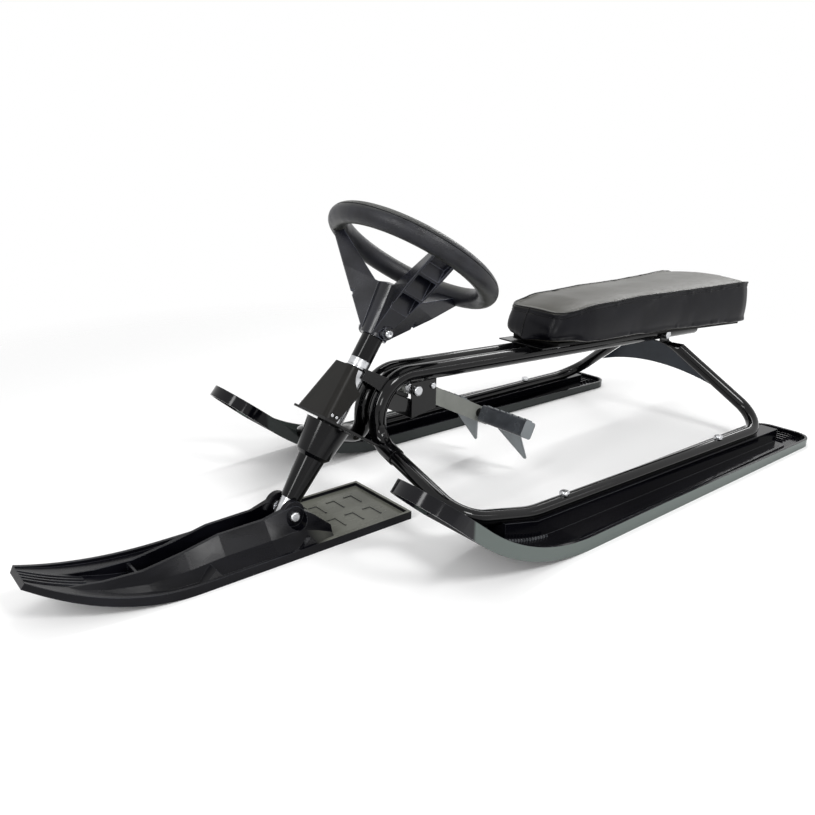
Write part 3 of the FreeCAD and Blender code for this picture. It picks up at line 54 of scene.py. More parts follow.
MM = 0.001

# %% [markdown]
# ## Colours and nodes
# Colours are written the way a picture editor shows them, as sRGB hex. Shaders add light in linear numbers,
# so one function converts them. A second small function adds a shader node, sets its settings and fills its
# sockets, with a number where the value is the same all over and with a link where another node gives it.


# %% Helpers for materials
def linear(hex_colour):
    """sRGB hex text as linear red, green, blue and alpha."""
    parts = [int(hex_colour[place:place + 2], 16) / 255 for place in (1, 3, 5)]
    return [part / 12.92 if part <= 0.04045 else ((part + 0.055) / 1.055) ** 2.4 for part in parts] + [1.0]


def add_node(tree, kind, sockets, **settings):
    """Add a node, set its settings, and fill its sockets with constants or links."""
    made = tree.nodes.new(kind)
    for name, value in settings.items():
        setattr(made, name, value)
    for socket, value in sockets.items():
        if isinstance(value, bpy.types.NodeSocket):
            tree.links.new(value, made.inputs[socket])
        else:
            made.inputs[socket].default_value = value
    return made


def per_metre(size_mm):
    """Texture scale that gives features of this size."""
    return 1 / (size_mm * MM)


print("middle grey in linear light", linear("#808080")[0])

# %% [markdown]
# ## Painted light on faces that point one way
# Some finishes have light painted into their colour on the faces that point along one of the object's own
# axes:
# a painted reflection of the white floor on the walls of the rear skis, painted light on the front ski's
# deck, on the neck's top plate and on the pedals' ends, and painted light and sheen that make the seat's top
# panel paler than its side band and the grip's top paler than its sides. A zone keeps such a change to a
# stretch of
# the object, in metres: along the sled, out from its middle, or across a rear ski.

# %% Faces and zones
SKI_MIDDLE_Y = 201.5 * MM
FACING_RANGE = (0.6, 0.85)


def facing_share(tree, place, facing, zone):
    """How far a spot faces along an axis, either way, inside the zone."""
    look = add_node(tree, "ShaderNodeVectorMath", {0: place.outputs["Normal"]}, operation="ABSOLUTE")
    turn = add_node(tree, "ShaderNodeVectorMath", {0: look.outputs["Vector"], 1: facing},
                    operation="DOT_PRODUCT")
    share = add_node(tree, "ShaderNodeMapRange", {"Value": turn.outputs["Value"], "From Min": FACING_RANGE[0],
                                                  "From Max": FACING_RANGE[1]}).outputs["Result"]
    where = add_node(tree, "ShaderNodeSeparateXYZ", {"Vector": place.outputs["Object"]})
    out = add_node(tree, "ShaderNodeMath", {0: where.outputs["Y"]}, operation="ABSOLUTE")
    across = add_node(tree, "ShaderNodeMath", {0: out.outputs[0], 1: SKI_MIDDLE_Y}, operation="SUBTRACT")
    across = add_node(tree, "ShaderNodeMath", {0: across.outputs[0]}, operation="ABSOLUTE")
    measures = {"along": where.outputs["X"], "out": out.outputs[0], "across": across.outputs[0]}
    for measure, start, end in zone:
        inside = add_node(tree, "ShaderNodeMapRange", {"Value": measures[measure], "From Min": start,
                                                       "From Max": end})
        share = add_node(tree, "ShaderNodeMath", {0: share, 1: inside.outputs["Result"]},
                         operation="MULTIPLY").outputs[0]
    return share


print("faces count from", FACING_RANGE)

# %% [markdown]
# ## One recipe for every finish
# A real surface is never one flat colour. Each finish here has the same layers, with its own sizes:
# patches, which shift the colour and the gloss a little, stretched where rubbing or flow has a direction;
# a fine relief, such as the "orange peel" of powder coat or the grain of vinyl; and edges, which a Bevel node
# rounds off in the shading, and where handling has rubbed the surface lighter. On the ski teeth that lighter
# edge is a painted glint, and some finishes also take painted light on faces that point one way.

# %% The finish function
PATCH_RANGE = (0.3, 0.7)
PATCH_DETAIL = 5.0
RUB_RANGE = (0.98, 0.86)
BEVEL_SAMPLES = 6
RELIEF_DETAIL = 2.0


def finish(name, colours, gloss, patch_mm, relief_mm, depth_mm, edge_wear_and_glint, stretch=(1, 1, 1), edge_mm=0.7,
           grained=False, facing=None, painted_light_colour=None, zone=(), **shader_sockets):
    """A material with patches, relief and paler rubbed edges, on the ski teeth a painted glint. colours and
    gloss are the two ends of the patches; faces that point along facing take painted light.
    """
    material = bpy.data.materials.new(name)
    material.use_nodes = True
    tree = material.node_tree
    tree.nodes.clear()
    place = add_node(tree, "ShaderNodeTexCoord", {})
    surface = add_node(tree, "ShaderNodeNewGeometry", {})
    stretched = add_node(tree, "ShaderNodeMapping", {"Vector": place.outputs["Object"], "Scale": stretch})
    patches = add_node(tree, "ShaderNodeTexNoise", {"Vector": stretched.outputs["Vector"],
                                                    "Scale": per_metre(patch_mm), "Detail": PATCH_DETAIL})
    patch = {"Value": patches.outputs["Fac"], "From Min": PATCH_RANGE[0], "From Max": PATCH_RANGE[1]}
    spread = add_node(tree, "ShaderNodeMapRange", patch)
    shine = add_node(tree, "ShaderNodeMapRange", {**patch, "To Min": gloss[0], "To Max": gloss[1]})
    colour = add_node(tree, "ShaderNodeMix", {0: spread.outputs["Result"], 6: linear(colours[0]),
                                              7: linear(colours[1])}, data_type="RGBA").outputs[2]
    # Painted light: faces that point along facing, inside the zone, take a paler painted colour.
    if facing:
        share = facing_share(tree, place, facing, zone)
        colour = add_node(tree, "ShaderNodeMix", {0: share, 6: colour, 7: linear(painted_light_colour)},
                          data_type="RGBA").outputs[2]
    edges = add_node(tree, "ShaderNodeBevel", {"Radius": edge_mm * MM}, samples=BEVEL_SAMPLES)
    bend = add_node(tree, "ShaderNodeVectorMath", {0: edges.outputs["Normal"], 1: surface.outputs["Normal"]},
                    operation="DOT_PRODUCT")
    rub = add_node(tree, "ShaderNodeMapRange", {"Value": bend.outputs["Value"], "From Min": RUB_RANGE[0],
                                                "From Max": RUB_RANGE[1]})
    # Paler edges: rubbed by handling, and on the ski teeth a painted glint.
    wear_and_glint = add_node(tree, "ShaderNodeMath", {0: rub.outputs["Result"], 1: spread.outputs["Result"]},
                    operation="MULTIPLY")
    colour = add_node(tree, "ShaderNodeMix", {0: wear_and_glint.outputs[0], 6: colour, 7: linear(edge_wear_and_glint)},
                      data_type="RGBA").outputs[2]
    cells = {"Vector": place.outputs["Object"], "Scale": per_metre(relief_mm)}
    if grained:
        relief = add_node(tree, "ShaderNodeTexVoronoi", cells, feature="DISTANCE_TO_EDGE").outputs["Distance"]
    else:
        relief = add_node(tree, "ShaderNodeTexNoise", {**cells, "Detail": RELIEF_DETAIL}).outputs["Fac"]
    bump = add_node(tree, "ShaderNodeBump", {"Height": relief, "Distance": depth_mm * MM,
                                             "Normal": edges.outputs["Normal"]})
    shader = add_node(tree, "ShaderNodeBsdfPrincipled", {
        "Base Color": colour, "Roughness": shine.outputs["Result"], "Normal": bump.outputs["Normal"],
        **shader_sockets})
    add_node(tree, "ShaderNodeOutputMaterial", {"Surface": shader.outputs["BSDF"]})
    return material


print("patches spread over", PATCH_RANGE)

# %% [markdown]
# ## How much a black surface mirrors
# Black paint and plastic look black because they mirror little of the white room. The shader's specular level
# sets that: 0.5 is a plain dielectric with an IOR of 1.5. Each value here was matched to the picture.

# %% Specular levels
DARK = {"Specular IOR Level": 0.15}
SATIN = {"Specular IOR Level": 0.22}
GLOSS = {"Specular IOR Level": 0.28}
SOFT_PVC = {"Specular IOR Level": 0.35}
WHEEL_SHEEN = {"Specular IOR Level": 0.42}
print("darkest level", DARK)

# %% [markdown]
# ## Painted metal and zinc
# The tubes are mild steel with a gloss black powder coat. Powder melts into a skin that is not quite level,
# an "orange peel" of about 2 mm. The folded steering-head cover, the neck and the claws have a satin coat, so
# they reflect softly. Bolts, the collar, the column and the head tube are steel with bright zinc plating. A
# metal keeps the shader's default IOR and takes its colour from the base colour.

# %% Metals
UPWARD = (0, 0, 1)
tube_coat = finish("gloss_black_powder_coat", ("#020203", "#060607"), (0.05, 0.10), 70, 2.2, 0.012, "#242426",
                   **GLOSS)
panel_coat = finish("semigloss_panel_coat", ("#20242a", "#2a2f36"), (0.16, 0.26), 60, 2.2, 0.012, "#3c4044",
                    **SATIN)
cover_coat = finish("satin_black_cover_coat", ("#100f0e", "#1a1917"), (0.30, 0.40), 60, 1.6, 0.02, "#3a3a3b",
                    **DARK)
# The neck's top plate is painted paler than the rest: painted light on the faces that point up.
neck_coat_painted_lit_top = finish("satin_neck_coat_painted_lit_top", ("#0c0c0d", "#161617"), (0.22, 0.34), 40, 1.6, 0.02, "#5a5a5b",
                   facing=UPWARD, painted_light_colour="#6e6e6c", **SATIN)
# The brake arm has the tubes' black coat; its pale grey is a painted highlight of its lit top face.
arm_coat_painted_highlight = finish("satin_arm_coat_painted_highlight", ("#767874", "#868883"), (0.28, 0.40), 30, 1.6, 0.02, "#a0a29e",
                  **SATIN)
claw_coat = finish("satin_grey_claw_coat", ("#63686b", "#747a7d"), (0.28, 0.42), 30, 1.6, 0.03, "#2a2c2e",
                   **SATIN)
zinc = finish("bright_zinc_plate", ("#a9aaad", "#d2d3d5"), (0.18, 0.32), 9, 0.8, 0.02, "#8c8d90", edge_mm=0.4,
              **{"Metallic": 1.0})
print("metals", len(bpy.data.materials))

# %% [markdown]
# ## Moulded plastics
# The skis are black polyethylene. It comes out of a polished mould nearly glossy, with flow streaks and fine
# scuffs along the ski. The wheel's spider and the pedals are polypropylene from a spark-eroded mould, which
# leaves a fine grain. The boot and sleeve are the glossiest.

# %% Plastics of the skis
FLANKS = (0, 1, 0)
ALONG_SKI = (0.12, 1, 1)
ALONG_FRONT_SKI = (0.5, 1, 1)
SKI_WALLS_PAINTED_REFLECTION = (("across", 0.0400, 0.0415), ("out", 0.125, 0.244), ("along", 0.231, 0.227))
LIT_FRONT_DECK_ZONE = (("along", 0.29, 0.27),)
# Rear ski walls, sideways faces in the zone, are painted grey: a painted reflection of the white floor.
ski_plastic = finish("gloss_black_ski_polyethylene_painted_wall_reflection", ("#030306", "#0a0a0f"), (0.05, 0.16), 40, 1.2, 0.012,
                     "#34363a", stretch=ALONG_SKI, edge_mm=1.0, facing=FLANKS, painted_light_colour="#535b58",
                     zone=SKI_WALLS_PAINTED_REFLECTION, **SATIN)
# The front ski's deck, faces that point up behind the keel, is painted paler: painted light on the top.
front_plastic = finish("semigloss_front_ski_polyethylene_painted_lit_deck", ("#020205", "#0e0e13"), (0.18, 0.36), 30, 1.0,
                       0.02, "#44464c", stretch=ALONG_FRONT_SKI, edge_mm=1.0, facing=UPWARD,
                       painted_light_colour="#66675f", zone=LIT_FRONT_DECK_ZONE, **DARK)
# The teeth are painted pale grey with paler edges: a painted highlight, for the glints they catch.
tooth_plastic_painted_highlight = finish("tooth_polyethylene_painted_highlight", ("#3c3e42", "#66686c"), (0.25, 0.40), 8, 1.0, 0.01,
                       "#9a9c9e", edge_mm=0.4, **SATIN)
print("with the skis", len(bpy.data.materials))

# %% Other plastics
boot_plastic = finish("gloss_black_boot_plastic", ("#020203", "#060608"), (0.07, 0.14), 40, 1.5, 0.008,
                      "#242426", edge_mm=1.0, **SATIN)
wheel_plastic = finish("satin_black_wheel_polypropylene", ("#07080e", "#11121b"), (0.18, 0.28), 30, 0.9, 0.02,
                       "#565a66", edge_mm=1.6, **WHEEL_SHEEN)
# The pedals' ends, the faces that point sideways, are painted paler: painted light.
pedal_plastic = finish("satin_grey_pedal_polypropylene_painted_lit_ends", ("#2c2e32", "#3e4145"), (0.16, 0.30), 20, 0.9, 0.04,
                       "#74777b", facing=FLANKS, painted_light_colour="#7c8184", **SATIN)
cap_plastic = finish("matt_black_cap_plastic", ("#060607", "#0d0d0e"), (0.45, 0.60), 25, 0.8, 0.03, "#2a2a2b",
                     **DARK)
print("with all plastics", len(bpy.data.materials))

# %% [markdown]
# ## Grip, seat covering and board
# The rim's grip is soft PVC with a pressed leather grain. Its cells are about 1.6 mm wide, too fine to show,
# so they are drawn 2.2 mm wide. The seat is covered in black vinyl with a finer grain. A Voronoi texture
# gives such cells: its distance to the cell edges is the height of the grain. The board under the seat is
# painted black.

# %% Coverings
ALONG_BOARD = (0.1, 1, 1)
# The grip's top faces are painted a paler olive: painted sheen on the top.
grip_cover = finish("grained_pvc_grip_painted_top_sheen", ("#0d0d12", "#1a1b21"), (0.32, 0.48), 14, 2.2, 0.35, "#2c2c32",
                    grained=True, facing=UPWARD, painted_light_colour="#2a2b28", **SOFT_PVC)
# The seat's top panel is painted paler than its side band: painted light and sheen on faces that point up.
seat_vinyl = finish("grained_black_seat_vinyl_painted_lit_top", ("#030307", "#09090f"), (0.29, 0.38), 55, 1.3, 0.06,
                    "#1c1c20", grained=True, facing=UPWARD, painted_light_colour="#403f39", **DARK)
piping_vinyl = finish("black_piping_vinyl", ("#030304", "#09090b"), (0.22, 0.32), 30, 1.0, 0.03, "#1a1a1c",
                      **DARK)
board_black = finish("matt_black_board", ("#050505", "#0b0b0b"), (0.5, 0.65), 12, 1.0, 0.05, "#2a2826",
                     stretch=ALONG_BOARD, **DARK)
print("with coverings", len(bpy.data.materials))

# %% [markdown]
# ## Dressing the solids
# Every solid takes the finish that the record names for it, so one table from slot to finish does most of it.
# The brake's arm has the tubes' coat, rougher, and painted pale grey as a painted highlight; the arched sheet
# has the tubes' coat, but rougher and paler. So each gets its own.

# %% Assign finishes
FINISHES = {"tube_paint": tube_coat, "cover_paint": cover_coat, "neck_paint": neck_coat_painted_lit_top,
            "claw_paint": claw_coat, "zinc": zinc, "ski_plastic": ski_plastic,
            "front_plastic": front_plastic, "sleeve_plastic": boot_plastic, "wheel_plastic": wheel_plastic,
            "pedal_plastic": pedal_plastic, "cap_plastic": cap_plastic, "grip_rubber": grip_cover,
            "board_black": board_black, "seat_vinyl": seat_vinyl}
for subpart in frame["record"]["subparts"]:
    solid = nodes[subpart["node"]]
    solid.data.materials.clear()
    solid.data.materials.append(FINISHES[subpart["material_slot"]])
nodes["brake_arm"].data.materials[0] = arm_coat_painted_highlight
nodes["rear_arch_panel"].data.materials[0] = panel_coat

# %% [markdown]
# ## The padded seat
# The real seat is foam in a sewn vinyl cover: a top panel, a side band, and a piped seam between them. A copy
# of the solid cushion gives the pattern the cover was cut to. Its sharp upper edge is the piped seam, along
# both sides and the back, and is found by how far each edge turns.

# %% Read the cushion's ridge
SHARP_TURN = math.radians(42)
LEVEL_SHARE = 0.75
SEAM_RISE = 20 * MM
FRONT_SEAM_X = -126 * MM
SAME_SPOT = 0.01 * MM

pattern = bmesh.new()
pattern.from_mesh(nodes["seat_cushion"].data)
bmesh.ops.remove_doubles(pattern, verts=pattern.verts, dist=SAME_SPOT)
bmesh.ops.recalc_face_normals(pattern, faces=pattern.faces)
floor_tail = min((vert.co for vert in pattern.verts), key=lambda co: (round(co.x, 4), co.z)).copy()
floor_nose = min((vert.co for vert in pattern.verts), key=lambda co: (-round(co.x, 4), co.z)).copy()


def seat_floor(x):
    """Height of the cushion's flat underside at a place along the sled."""
    return floor_tail.z + (floor_nose.z - floor_tail.z) * (x - floor_tail.x) / (floor_nose.x - floor_tail.x)


def on_ridge(edge):
    """Whether an edge turns sharply, runs level and lies above the side band."""
    one, two = (vert.co for vert in edge.verts)
    level = abs(one.z - two.z) < LEVEL_SHARE * (one - two).length
    return level and one.z > seat_floor(one.x) + SEAM_RISE and edge.calc_face_angle(0) > SHARP_TURN


ridge = {vert for edge in pattern.edges if on_ridge(edge) for vert in edge.verts}
ridge = [vert.co.copy() for vert in ridge if vert.co.x < FRONT_SEAM_X + MM]
print("ridge points", len(ridge))

# %% [markdown]
# At the front the cover is rounded, so there the seam is laid across the copy's surface, by rays from above.
# The points of the ridge and of this crossing make one ring.

# %% Lay the seam round the cushion
SEAM_BOW = 3 * MM
CROSSING_STEPS = 16

back = sorted((point for point in ridge if point.x < floor_tail.x + MM), key=lambda point: point.y)
left = sorted((point for point in ridge if point not in back and point.y > 0), key=lambda point: point.x)
right = sorted((point for point in ridge if point not in back and point.y < 0), key=lambda point: -point.x)
surface = BVHTree.FromBMesh(pattern)
crossing = []
for step in range(1, CROSSING_STEPS):
    share = step / CROSSING_STEPS
    spot = left[-1].lerp(right[0], share)
    spot.x += SEAM_BOW * (1 - (1 - 2 * share) ** 2)
    crossing.append(surface.ray_cast(spot + Vector((0, 0, 1)), Vector((0, 0, -1)))[0])
ring = back + left + crossing + right
pad_mesh = bpy.data.meshes.new("seat_pattern")
pattern.to_mesh(pad_mesh)
pattern.free()
print("ring points", len(ring))

# %% [markdown]
# The ring is drawn again in even short steps. At its two front corners each point moves to the middle of its
# neighbours, because the real cover turns those corners in a soft curve.

# %% Even steps and soft corners
SEAM_STEP = 3 * MM
CORNER_ZONE = 48 * MM
ROUND_POINTS = 9

drawn = []
for one, two in zip(ring, ring[1:] + ring[:1]):
    count = max(1, math.ceil((two - one).length / SEAM_STEP))
    drawn += [one.lerp(two, part / count) for part in range(count)]
corners = [left[-1].copy(), right[0].copy()]
seam_points = []
for index, point in enumerate(drawn):
    reach = ROUND_POINTS if min((point - corner).length for corner in corners) < CORNER_ZONE else 0
    near = [drawn[(index + offset) % len(drawn)] for offset in range(-reach, reach + 1)]
    seam_points.append(sum(near, Vector()) / len(near))
seam_tree = KDTree(len(seam_points))
for index, point in enumerate(seam_points):
    seam_tree.insert(point, index)
seam_tree.balance()
print("seam points", len(seam_points))

# %% [markdown]
# The copy is remeshed into small even cells, which a cloth can bend at. A Remesh modifier does that, and the
# result is read back as a mesh of its own.

# %% Cut the cover into cells
VOXEL = 4 * MM


def add_piece(name, mesh, material):
    """An object at the origin with this mesh and this one material."""
    piece = bpy.data.objects.new(name, mesh)
    scene.collection.objects.link(piece)
    mesh.materials.clear()
    mesh.materials.append(material)
    return piece


def evaluated_mesh(piece):
    """The mesh of a piece with its modifiers, or of a curve with its bevel."""
    return bpy.data.meshes.new_from_object(piece.evaluated_get(bpy.context.evaluated_depsgraph_get()))


remesh_holder = add_piece("seat_pattern", pad_mesh, seat_vinyl)
remesh = remesh_holder.modifiers.new("cells", "REMESH")
remesh.mode = "VOXEL"
remesh.voxel_size = VOXEL
pad = add_piece("seat_pad", evaluated_mesh(remesh_holder), seat_vinyl)
bpy.data.objects.remove(remesh_holder)
print("pad cells", len(pad.data.vertices))

# %% [markdown]
# Foam rounds the front corners off, and the front leans forward at its foot. Smoothing the points near each
# corner rounds them, in stages that draw closer to the corner, so that no step shows where it ends. Points on
# the seam stay. Then the front is sheared forward, most at the foot.

# %% Round the front
ROUND_HOLD = 3 * MM
ROUND_STAGES = 5
ROUND_PASSES = 12
SMOOTHING_SHARE = 0.5
TOP_RAKE = 3 * MM
FOOT_RAKE = 12 * MM

soft = bmesh.new()
soft.from_mesh(pad.data)
for stage in range(ROUND_STAGES):
    zone = CORNER_ZONE * (1 - stage / (2 * ROUND_STAGES))
    rounded = [vert for vert in soft.verts if seam_tree.find(vert.co)[2] > ROUND_HOLD
               and min((vert.co - corner).xy.length for corner in corners) < zone]
    for turn in range(ROUND_PASSES):
        bmesh.ops.smooth_vert(soft, verts=rounded, factor=SMOOTHING_SHARE,
                              use_axis_x=True, use_axis_y=True, use_axis_z=True)
for vert in soft.verts:
    ahead = max(0, 1 + (vert.co.x - floor_nose.x) / CORNER_ZONE)
    depth = 1 - (vert.co.z - floor_nose.z) / (corners[0].z - floor_nose.z)
    vert.co.x += ahead * (TOP_RAKE + (FOOT_RAKE - TOP_RAKE) * depth)
soft.to_mesh(pad.data)
soft.free()
print("rounded last", len(rounded))

# %% [markdown]
# The cover is drawn in a little, and a cloth simulation with air pressure swells the panels again, while the
# seam and the flat underside stay where they are. How far a point may move is capped, and the result is
# written into the mesh, so no simulation is left on the piece.

# %% The swelling function
MOST_SWELL = 7 * MM
AIR_PRESSURE = 4.0
CLOTH_STIFFNESS = 12.0
CLOTH_BENDING = 1.0
CLOTH_FRAMES = 20


def swell(pad, held):
    """Blow the cover up with a cloth simulation, holding some points, and cap how far a point moves."""
    before = [vert.co.copy() for vert in pad.data.vertices]
    pad.vertex_groups.new(name="held").add(held, 1.0, "REPLACE")
    cloth = pad.modifiers.new("swell", "CLOTH")
    cloth.settings.vertex_group_mass = "held"
    cloth.settings.use_pressure = True
    cloth.settings.uniform_pressure_force = AIR_PRESSURE
    cloth.settings.effector_weights.gravity = 0.0
    cloth.settings.tension_stiffness = CLOTH_STIFFNESS
    cloth.settings.compression_stiffness = CLOTH_STIFFNESS
    cloth.settings.bending_stiffness = CLOTH_BENDING
    for step in range(1, CLOTH_FRAMES + 1):
        scene.frame_set(step)
    solved = evaluated_mesh(pad)
    pad.modifiers.remove(cloth)
    scene.frame_set(1)
    for vert, start, end in zip(pad.data.vertices, before, solved.vertices):
        move = end.co - start
        if move.length > MOST_SWELL:
            move.length = MOST_SWELL
        vert.co = start + move
    pad.vertex_groups.clear()


print("most swell", MOST_SWELL)

# %% Swell the cover
START_INSET = 2 * MM
SEAM_HOLD = 5 * MM
FLAT_HOLD = 5 * MM

held = [vert.index for vert in pad.data.vertices
        if seam_tree.find(vert.co)[2] < SEAM_HOLD or vert.co.z < seat_floor(vert.co.x) + FLAT_HOLD]
free = set(range(len(pad.data.vertices))) - set(held)
inward = {index: pad.data.vertices[index].normal * -START_INSET for index in free}
for index, step in inward.items():
    pad.data.vertices[index].co += step
swell(pad, held)
pad.data.shade_smooth()
finer = pad.modifiers.new("finer", "SUBSURF")
finer.levels = finer.render_levels = 1
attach(pad, "frame")
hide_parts("seat_cushion")
print("held points", len(held))

# %% [markdown]
# ## Piping and seams
# The seam between the top panel and the side band is piped: a thin cord wrapped in vinyl. A curve through the
# seam's points with a round bevel is the simplest cord, and it becomes a mesh so that its place stays in it.


# %% The welt function
def welt(name, points, radius, closed):
    """A thin vinyl cord through points, as a mesh that rides on the frame."""
    curve = bpy.data.curves.new(name, "CURVE")
    curve.dimensions = "3D"
    spline = curve.splines.new("POLY")
    spline.points.add(len(points) - 1)
    for target, point in zip(spline.points, points):
        target.co = (*point, 1.0)
    spline.use_cyclic_u = closed
    curve.bevel_depth = radius
    curve.bevel_resolution = 3
    curve.use_fill_caps = True
    holder = bpy.data.objects.new(name + "_path", curve)
    scene.collection.objects.link(holder)
    mesh = evaluated_mesh(holder)
    bpy.data.objects.remove(holder)
    mesh.shade_smooth()
    piece = add_piece(name, mesh, piping_vinyl)
    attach(piece, "frame")
    print(name, len(mesh.polygons), "faces")


# %% [markdown]
# A row of stitching runs under the piping, and one upright seam closes the side band at the front. All three
# lie on the swollen cover, so their points are put down on its nearest surface. The piping stands a little
# proud of it.

# %% Piping and stitching
PIPING_RADIUS = 1.6 * MM
PIPING_PROUD_SHARE = 0.35
STITCH_RADIUS = 0.6 * MM
STITCH_DROP = 7 * MM
STITCH_OUT = 2 * MM

cover = BVHTree.FromObject(pad, bpy.context.evaluated_depsgraph_get())
piping_points = [cover.find_nearest(point)[0].lerp(point, PIPING_PROUD_SHARE) for point in seam_points]
middle = sum(seam_points, Vector()) / len(seam_points)
stitch_points = []
for point in seam_points:
    outward = Vector((point.x - middle.x, point.y - middle.y, 0)).normalized() * STITCH_OUT
    stitch_points.append(cover.find_nearest(point + outward - Vector((0, 0, STITCH_DROP)))[0])
welt("seat_piping", piping_points, PIPING_RADIUS, True)
welt("seat_stitch_row", stitch_points, STITCH_RADIUS, True)

# %% Front seam
FRONT_SEAM_RADIUS = 0.9 * MM
FRONT_SEAM_Y = -7 * MM
FRONT_SEAM_REACH = 6 * MM
FRONT_SEAM_STEPS = 24
RAY_START = 40 * MM

near_front = [point for point in seam_points if abs(point.y - FRONT_SEAM_Y) < FRONT_SEAM_REACH]
front_top = max(near_front, key=lambda point: point.x)
low = seat_floor(front_top.x) + FLAT_HOLD
front_points = []
for step in range(FRONT_SEAM_STEPS + 1):
    height = front_top.z + (low - front_top.z) * step / FRONT_SEAM_STEPS
    start = Vector((front_top.x + RAY_START, FRONT_SEAM_Y, height))
    hit = cover.ray_cast(start, Vector((-1, 0, 0)))[0]
    if hit:
        front_points.append(hit)
welt("seat_front_seam", front_points, FRONT_SEAM_RADIUS, False)

# %% [markdown]
# ## Grip teeth on the skis
# Where the floor of each rear ski starts to rise, a row of small teeth runs along it beside the tube's
# saddle, for the rider's heels. Each tooth is a cut-down cone with four sides, turned to stand square on the
# rising floor.

# %% Teeth
FLAT_END_X = 30 * MM
SOLE_RADIUS = 300 * MM
SKI_FLOOR = 4 * MM
TOOTH = 3 * MM
TOOTH_FOOT_SHARE = 0.8
TOOTH_TIP_SHARE = 0.35
ROW_Y = 202 * MM
ROW_START_X = 60 * MM
TOOTH_COUNT = 18
TOOTH_STEP = 5 * MM


def tooth_row(name, side):
    """One row of teeth on the left (1) or right (-1) rear ski."""
    build = bmesh.new()
    for step in range(TOOTH_COUNT):
        x = ROW_START_X + step * TOOTH_STEP
        turn = math.asin((x - FLAT_END_X) / (SOLE_RADIUS - SKI_FLOOR))
        height = SOLE_RADIUS - (SOLE_RADIUS - SKI_FLOOR) * math.cos(turn)
        spot = Matrix.Translation((x, side * ROW_Y, height)) @ Matrix.Rotation(-turn, 4, "Y")
        spot = spot @ Matrix.Rotation(math.pi / 4, 4, "Z")
        bmesh.ops.create_cone(build, cap_ends=True, segments=4, radius1=TOOTH * TOOTH_FOOT_SHARE,
                              radius2=TOOTH * TOOTH_TIP_SHARE, depth=2 * TOOTH, matrix=spot)
    mesh = bpy.data.meshes.new(name)
    build.to_mesh(mesh)
    build.free()
    piece = add_piece(name, mesh, tooth_plastic_painted_highlight)
    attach(piece, "frame")
    print(name, len(mesh.polygons), "faces")


tooth_row("heel_teeth_left", 1)
tooth_row("heel_teeth_right", -1)

# %% [markdown]
# ## Light, floor and camera
# The photograph is a product picture on white. The floor is white paper that fades out before its far edge,
# so that no horizon shows, and it keeps the sled's shadow.

# %% Floor
FLOOR_SIZE = 4.0
FADE = (0.7, 1.4)
floor_mesh = bpy.data.meshes.new("studio_floor")
floor_build = bmesh.new()
bmesh.ops.create_grid(floor_build, x_segments=1, y_segments=1, size=FLOOR_SIZE / 2)
floor_build.to_mesh(floor_mesh)
floor_build.free()
paper = bpy.data.materials.new("white_paper_floor")
paper.use_nodes = True
tree = paper.node_tree
tree.nodes.clear()
place = add_node(tree, "ShaderNodeTexCoord", {})
distance = add_node(tree, "ShaderNodeVectorMath", {0: place.outputs["Object"]}, operation="LENGTH")
paper_share = add_node(tree, "ShaderNodeMapRange", {"Value": distance.outputs["Value"], "From Min": FADE[0],
                                                    "From Max": FADE[1], "To Min": 1.0, "To Max": 0.0})
shader = add_node(tree, "ShaderNodeBsdfPrincipled", {"Base Color": linear("#ffffff"), "Roughness": 0.9,
                                                     "Specular IOR Level": 0.0,
                                                     "Alpha": paper_share.outputs["Result"]})
add_node(tree, "ShaderNodeOutputMaterial", {"Surface": shader.outputs["BSDF"]})
floor = add_piece("studio_floor", floor_mesh, paper)
print("floor fades over", FADE)

# %% [markdown]
# The world is white to the camera, in reflections and through glass. To everything else it is a dimmer fill
# light, so that the lamps can shape the sled.

# %% World
FILL_LEVEL = 0.58
world = bpy.data.worlds.new("studio_world")
scene.world = world
world.use_nodes = True
tree = world.node_tree
tree.nodes.clear()
path = add_node(tree, "ShaderNodeLightPath", {})
seen = add_node(tree, "ShaderNodeMath", {0: path.outputs["Is Camera Ray"], 1: path.outputs["Is Glossy Ray"]},
                operation="MAXIMUM")
seen = add_node(tree, "ShaderNodeMath", {0: seen.outputs[0], 1: path.outputs["Is Transmission Ray"]},
                operation="MAXIMUM")
level = add_node(tree, "ShaderNodeMapRange", {"Value": seen.outputs[0], "To Min": FILL_LEVEL, "To Max": 1.0})
sky = add_node(tree, "ShaderNodeBackground", {"Color": linear("#ffffff"),
                                              "Strength": level.outputs["Result"]})
add_node(tree, "ShaderNodeOutputWorld", {"Surface": sky.outputs["Background"]})
print("fill light", FILL_LEVEL)

# %% [markdown]
# Two lamps ahead of the sled and one above its side stand for windows, and shape the upright forms. Long
# narrow lamps at the side, overhead and at the back draw the thin bright lines that gloss paint shows along
# each tube. Each row gives a lamp's place, the point it looks at, its two sizes in metres, and its watts.

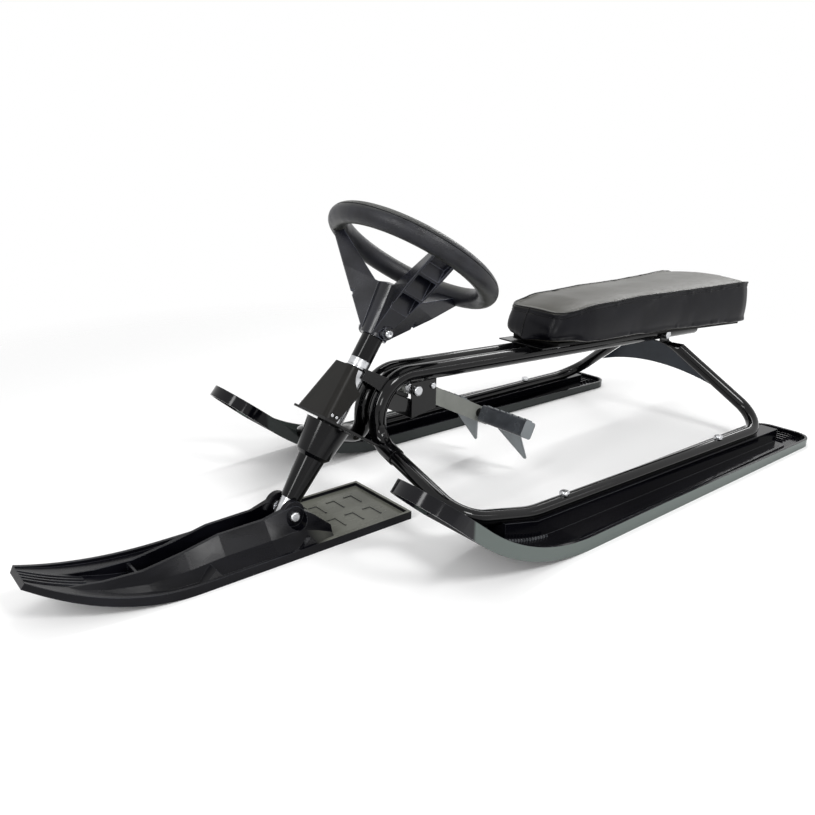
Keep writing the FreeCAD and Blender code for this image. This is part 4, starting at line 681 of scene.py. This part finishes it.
# %% Lamps
LAMPS = {"window_lamp": ((1.9, 0.4, 1.2), (0.1, 0, 0.2), (0.3, 1.1), 14),
         "high_window": ((0.15, 1.6, 1.65), (-0.45, 0.12, 0.08), (0.6, 0.45), 17),
         "side_strip": ((-1.2, 1.9, 1.5), (-1.2, 0.1, 0.1), (2.6, 0.12), 6),
         "top_strip": ((-0.9, -0.6, 1.9), (-0.9, 0, 0.1), (2.6, 0.12), 9),
         "back_strip": ((-1.7, -0.5, 1.0), (-1.7, 0.2, 0.05), (1.6, 0.16), 9),
         "front_panel": ((1.1, 1.6, 0.6), (-0.12, 0.05, 0.2), (0.35, 0.4), 5)}
for name, (lamp_place, target, size, watts) in LAMPS.items():
    lamp = bpy.data.lights.new(name, "AREA")
    lamp.shape = "RECTANGLE"
    lamp.size, lamp.size_y = size
    lamp.energy = watts
    holder = bpy.data.objects.new(name, lamp)
    holder.location = lamp_place
    holder.rotation_euler = (Vector(target) - Vector(lamp_place)).to_track_quat("-Z", "Y").to_euler()
    scene.collection.objects.link(holder)
print("lamps", len(bpy.data.lights))

# %% [markdown]
# The camera's place and lens were found by fitting the sled's known points to the picture, which is square.

# %% Camera
CAMERA_PLACE = (715 * MM, 726 * MM, 438 * MM)
FOCAL_PIXELS = 770
FRAME_PIXELS = 815
SENSOR = 36.0
YAW, PITCH, ROLL = (math.radians(angle) for angle in (39.8, 18.4, 0.96))
forward = Vector((-math.sin(YAW) * math.cos(PITCH), -math.cos(YAW) * math.cos(PITCH), -math.sin(PITCH)))
level_right = forward.cross(Vector((0, 0, 1))).normalized()
level_up = level_right.cross(forward)
turned_right = level_right * math.cos(ROLL) + level_up * math.sin(ROLL)
turned_up = level_up * math.cos(ROLL) - level_right * math.sin(ROLL)
lens = bpy.data.cameras.new("photo_camera")
lens.sensor_width = SENSOR
lens.lens = SENSOR * FOCAL_PIXELS / FRAME_PIXELS
lens.clip_start = 0.01
camera = bpy.data.objects.new("photo_camera", lens)
camera.matrix_world = Matrix((turned_right, turned_up, -forward)).transposed().to_4x4()
camera.location = CAMERA_PLACE
scene.collection.objects.link(camera)
scene.camera = camera
scene.view_settings.view_transform = "Standard"
print("camera", CAMERA_PLACE)
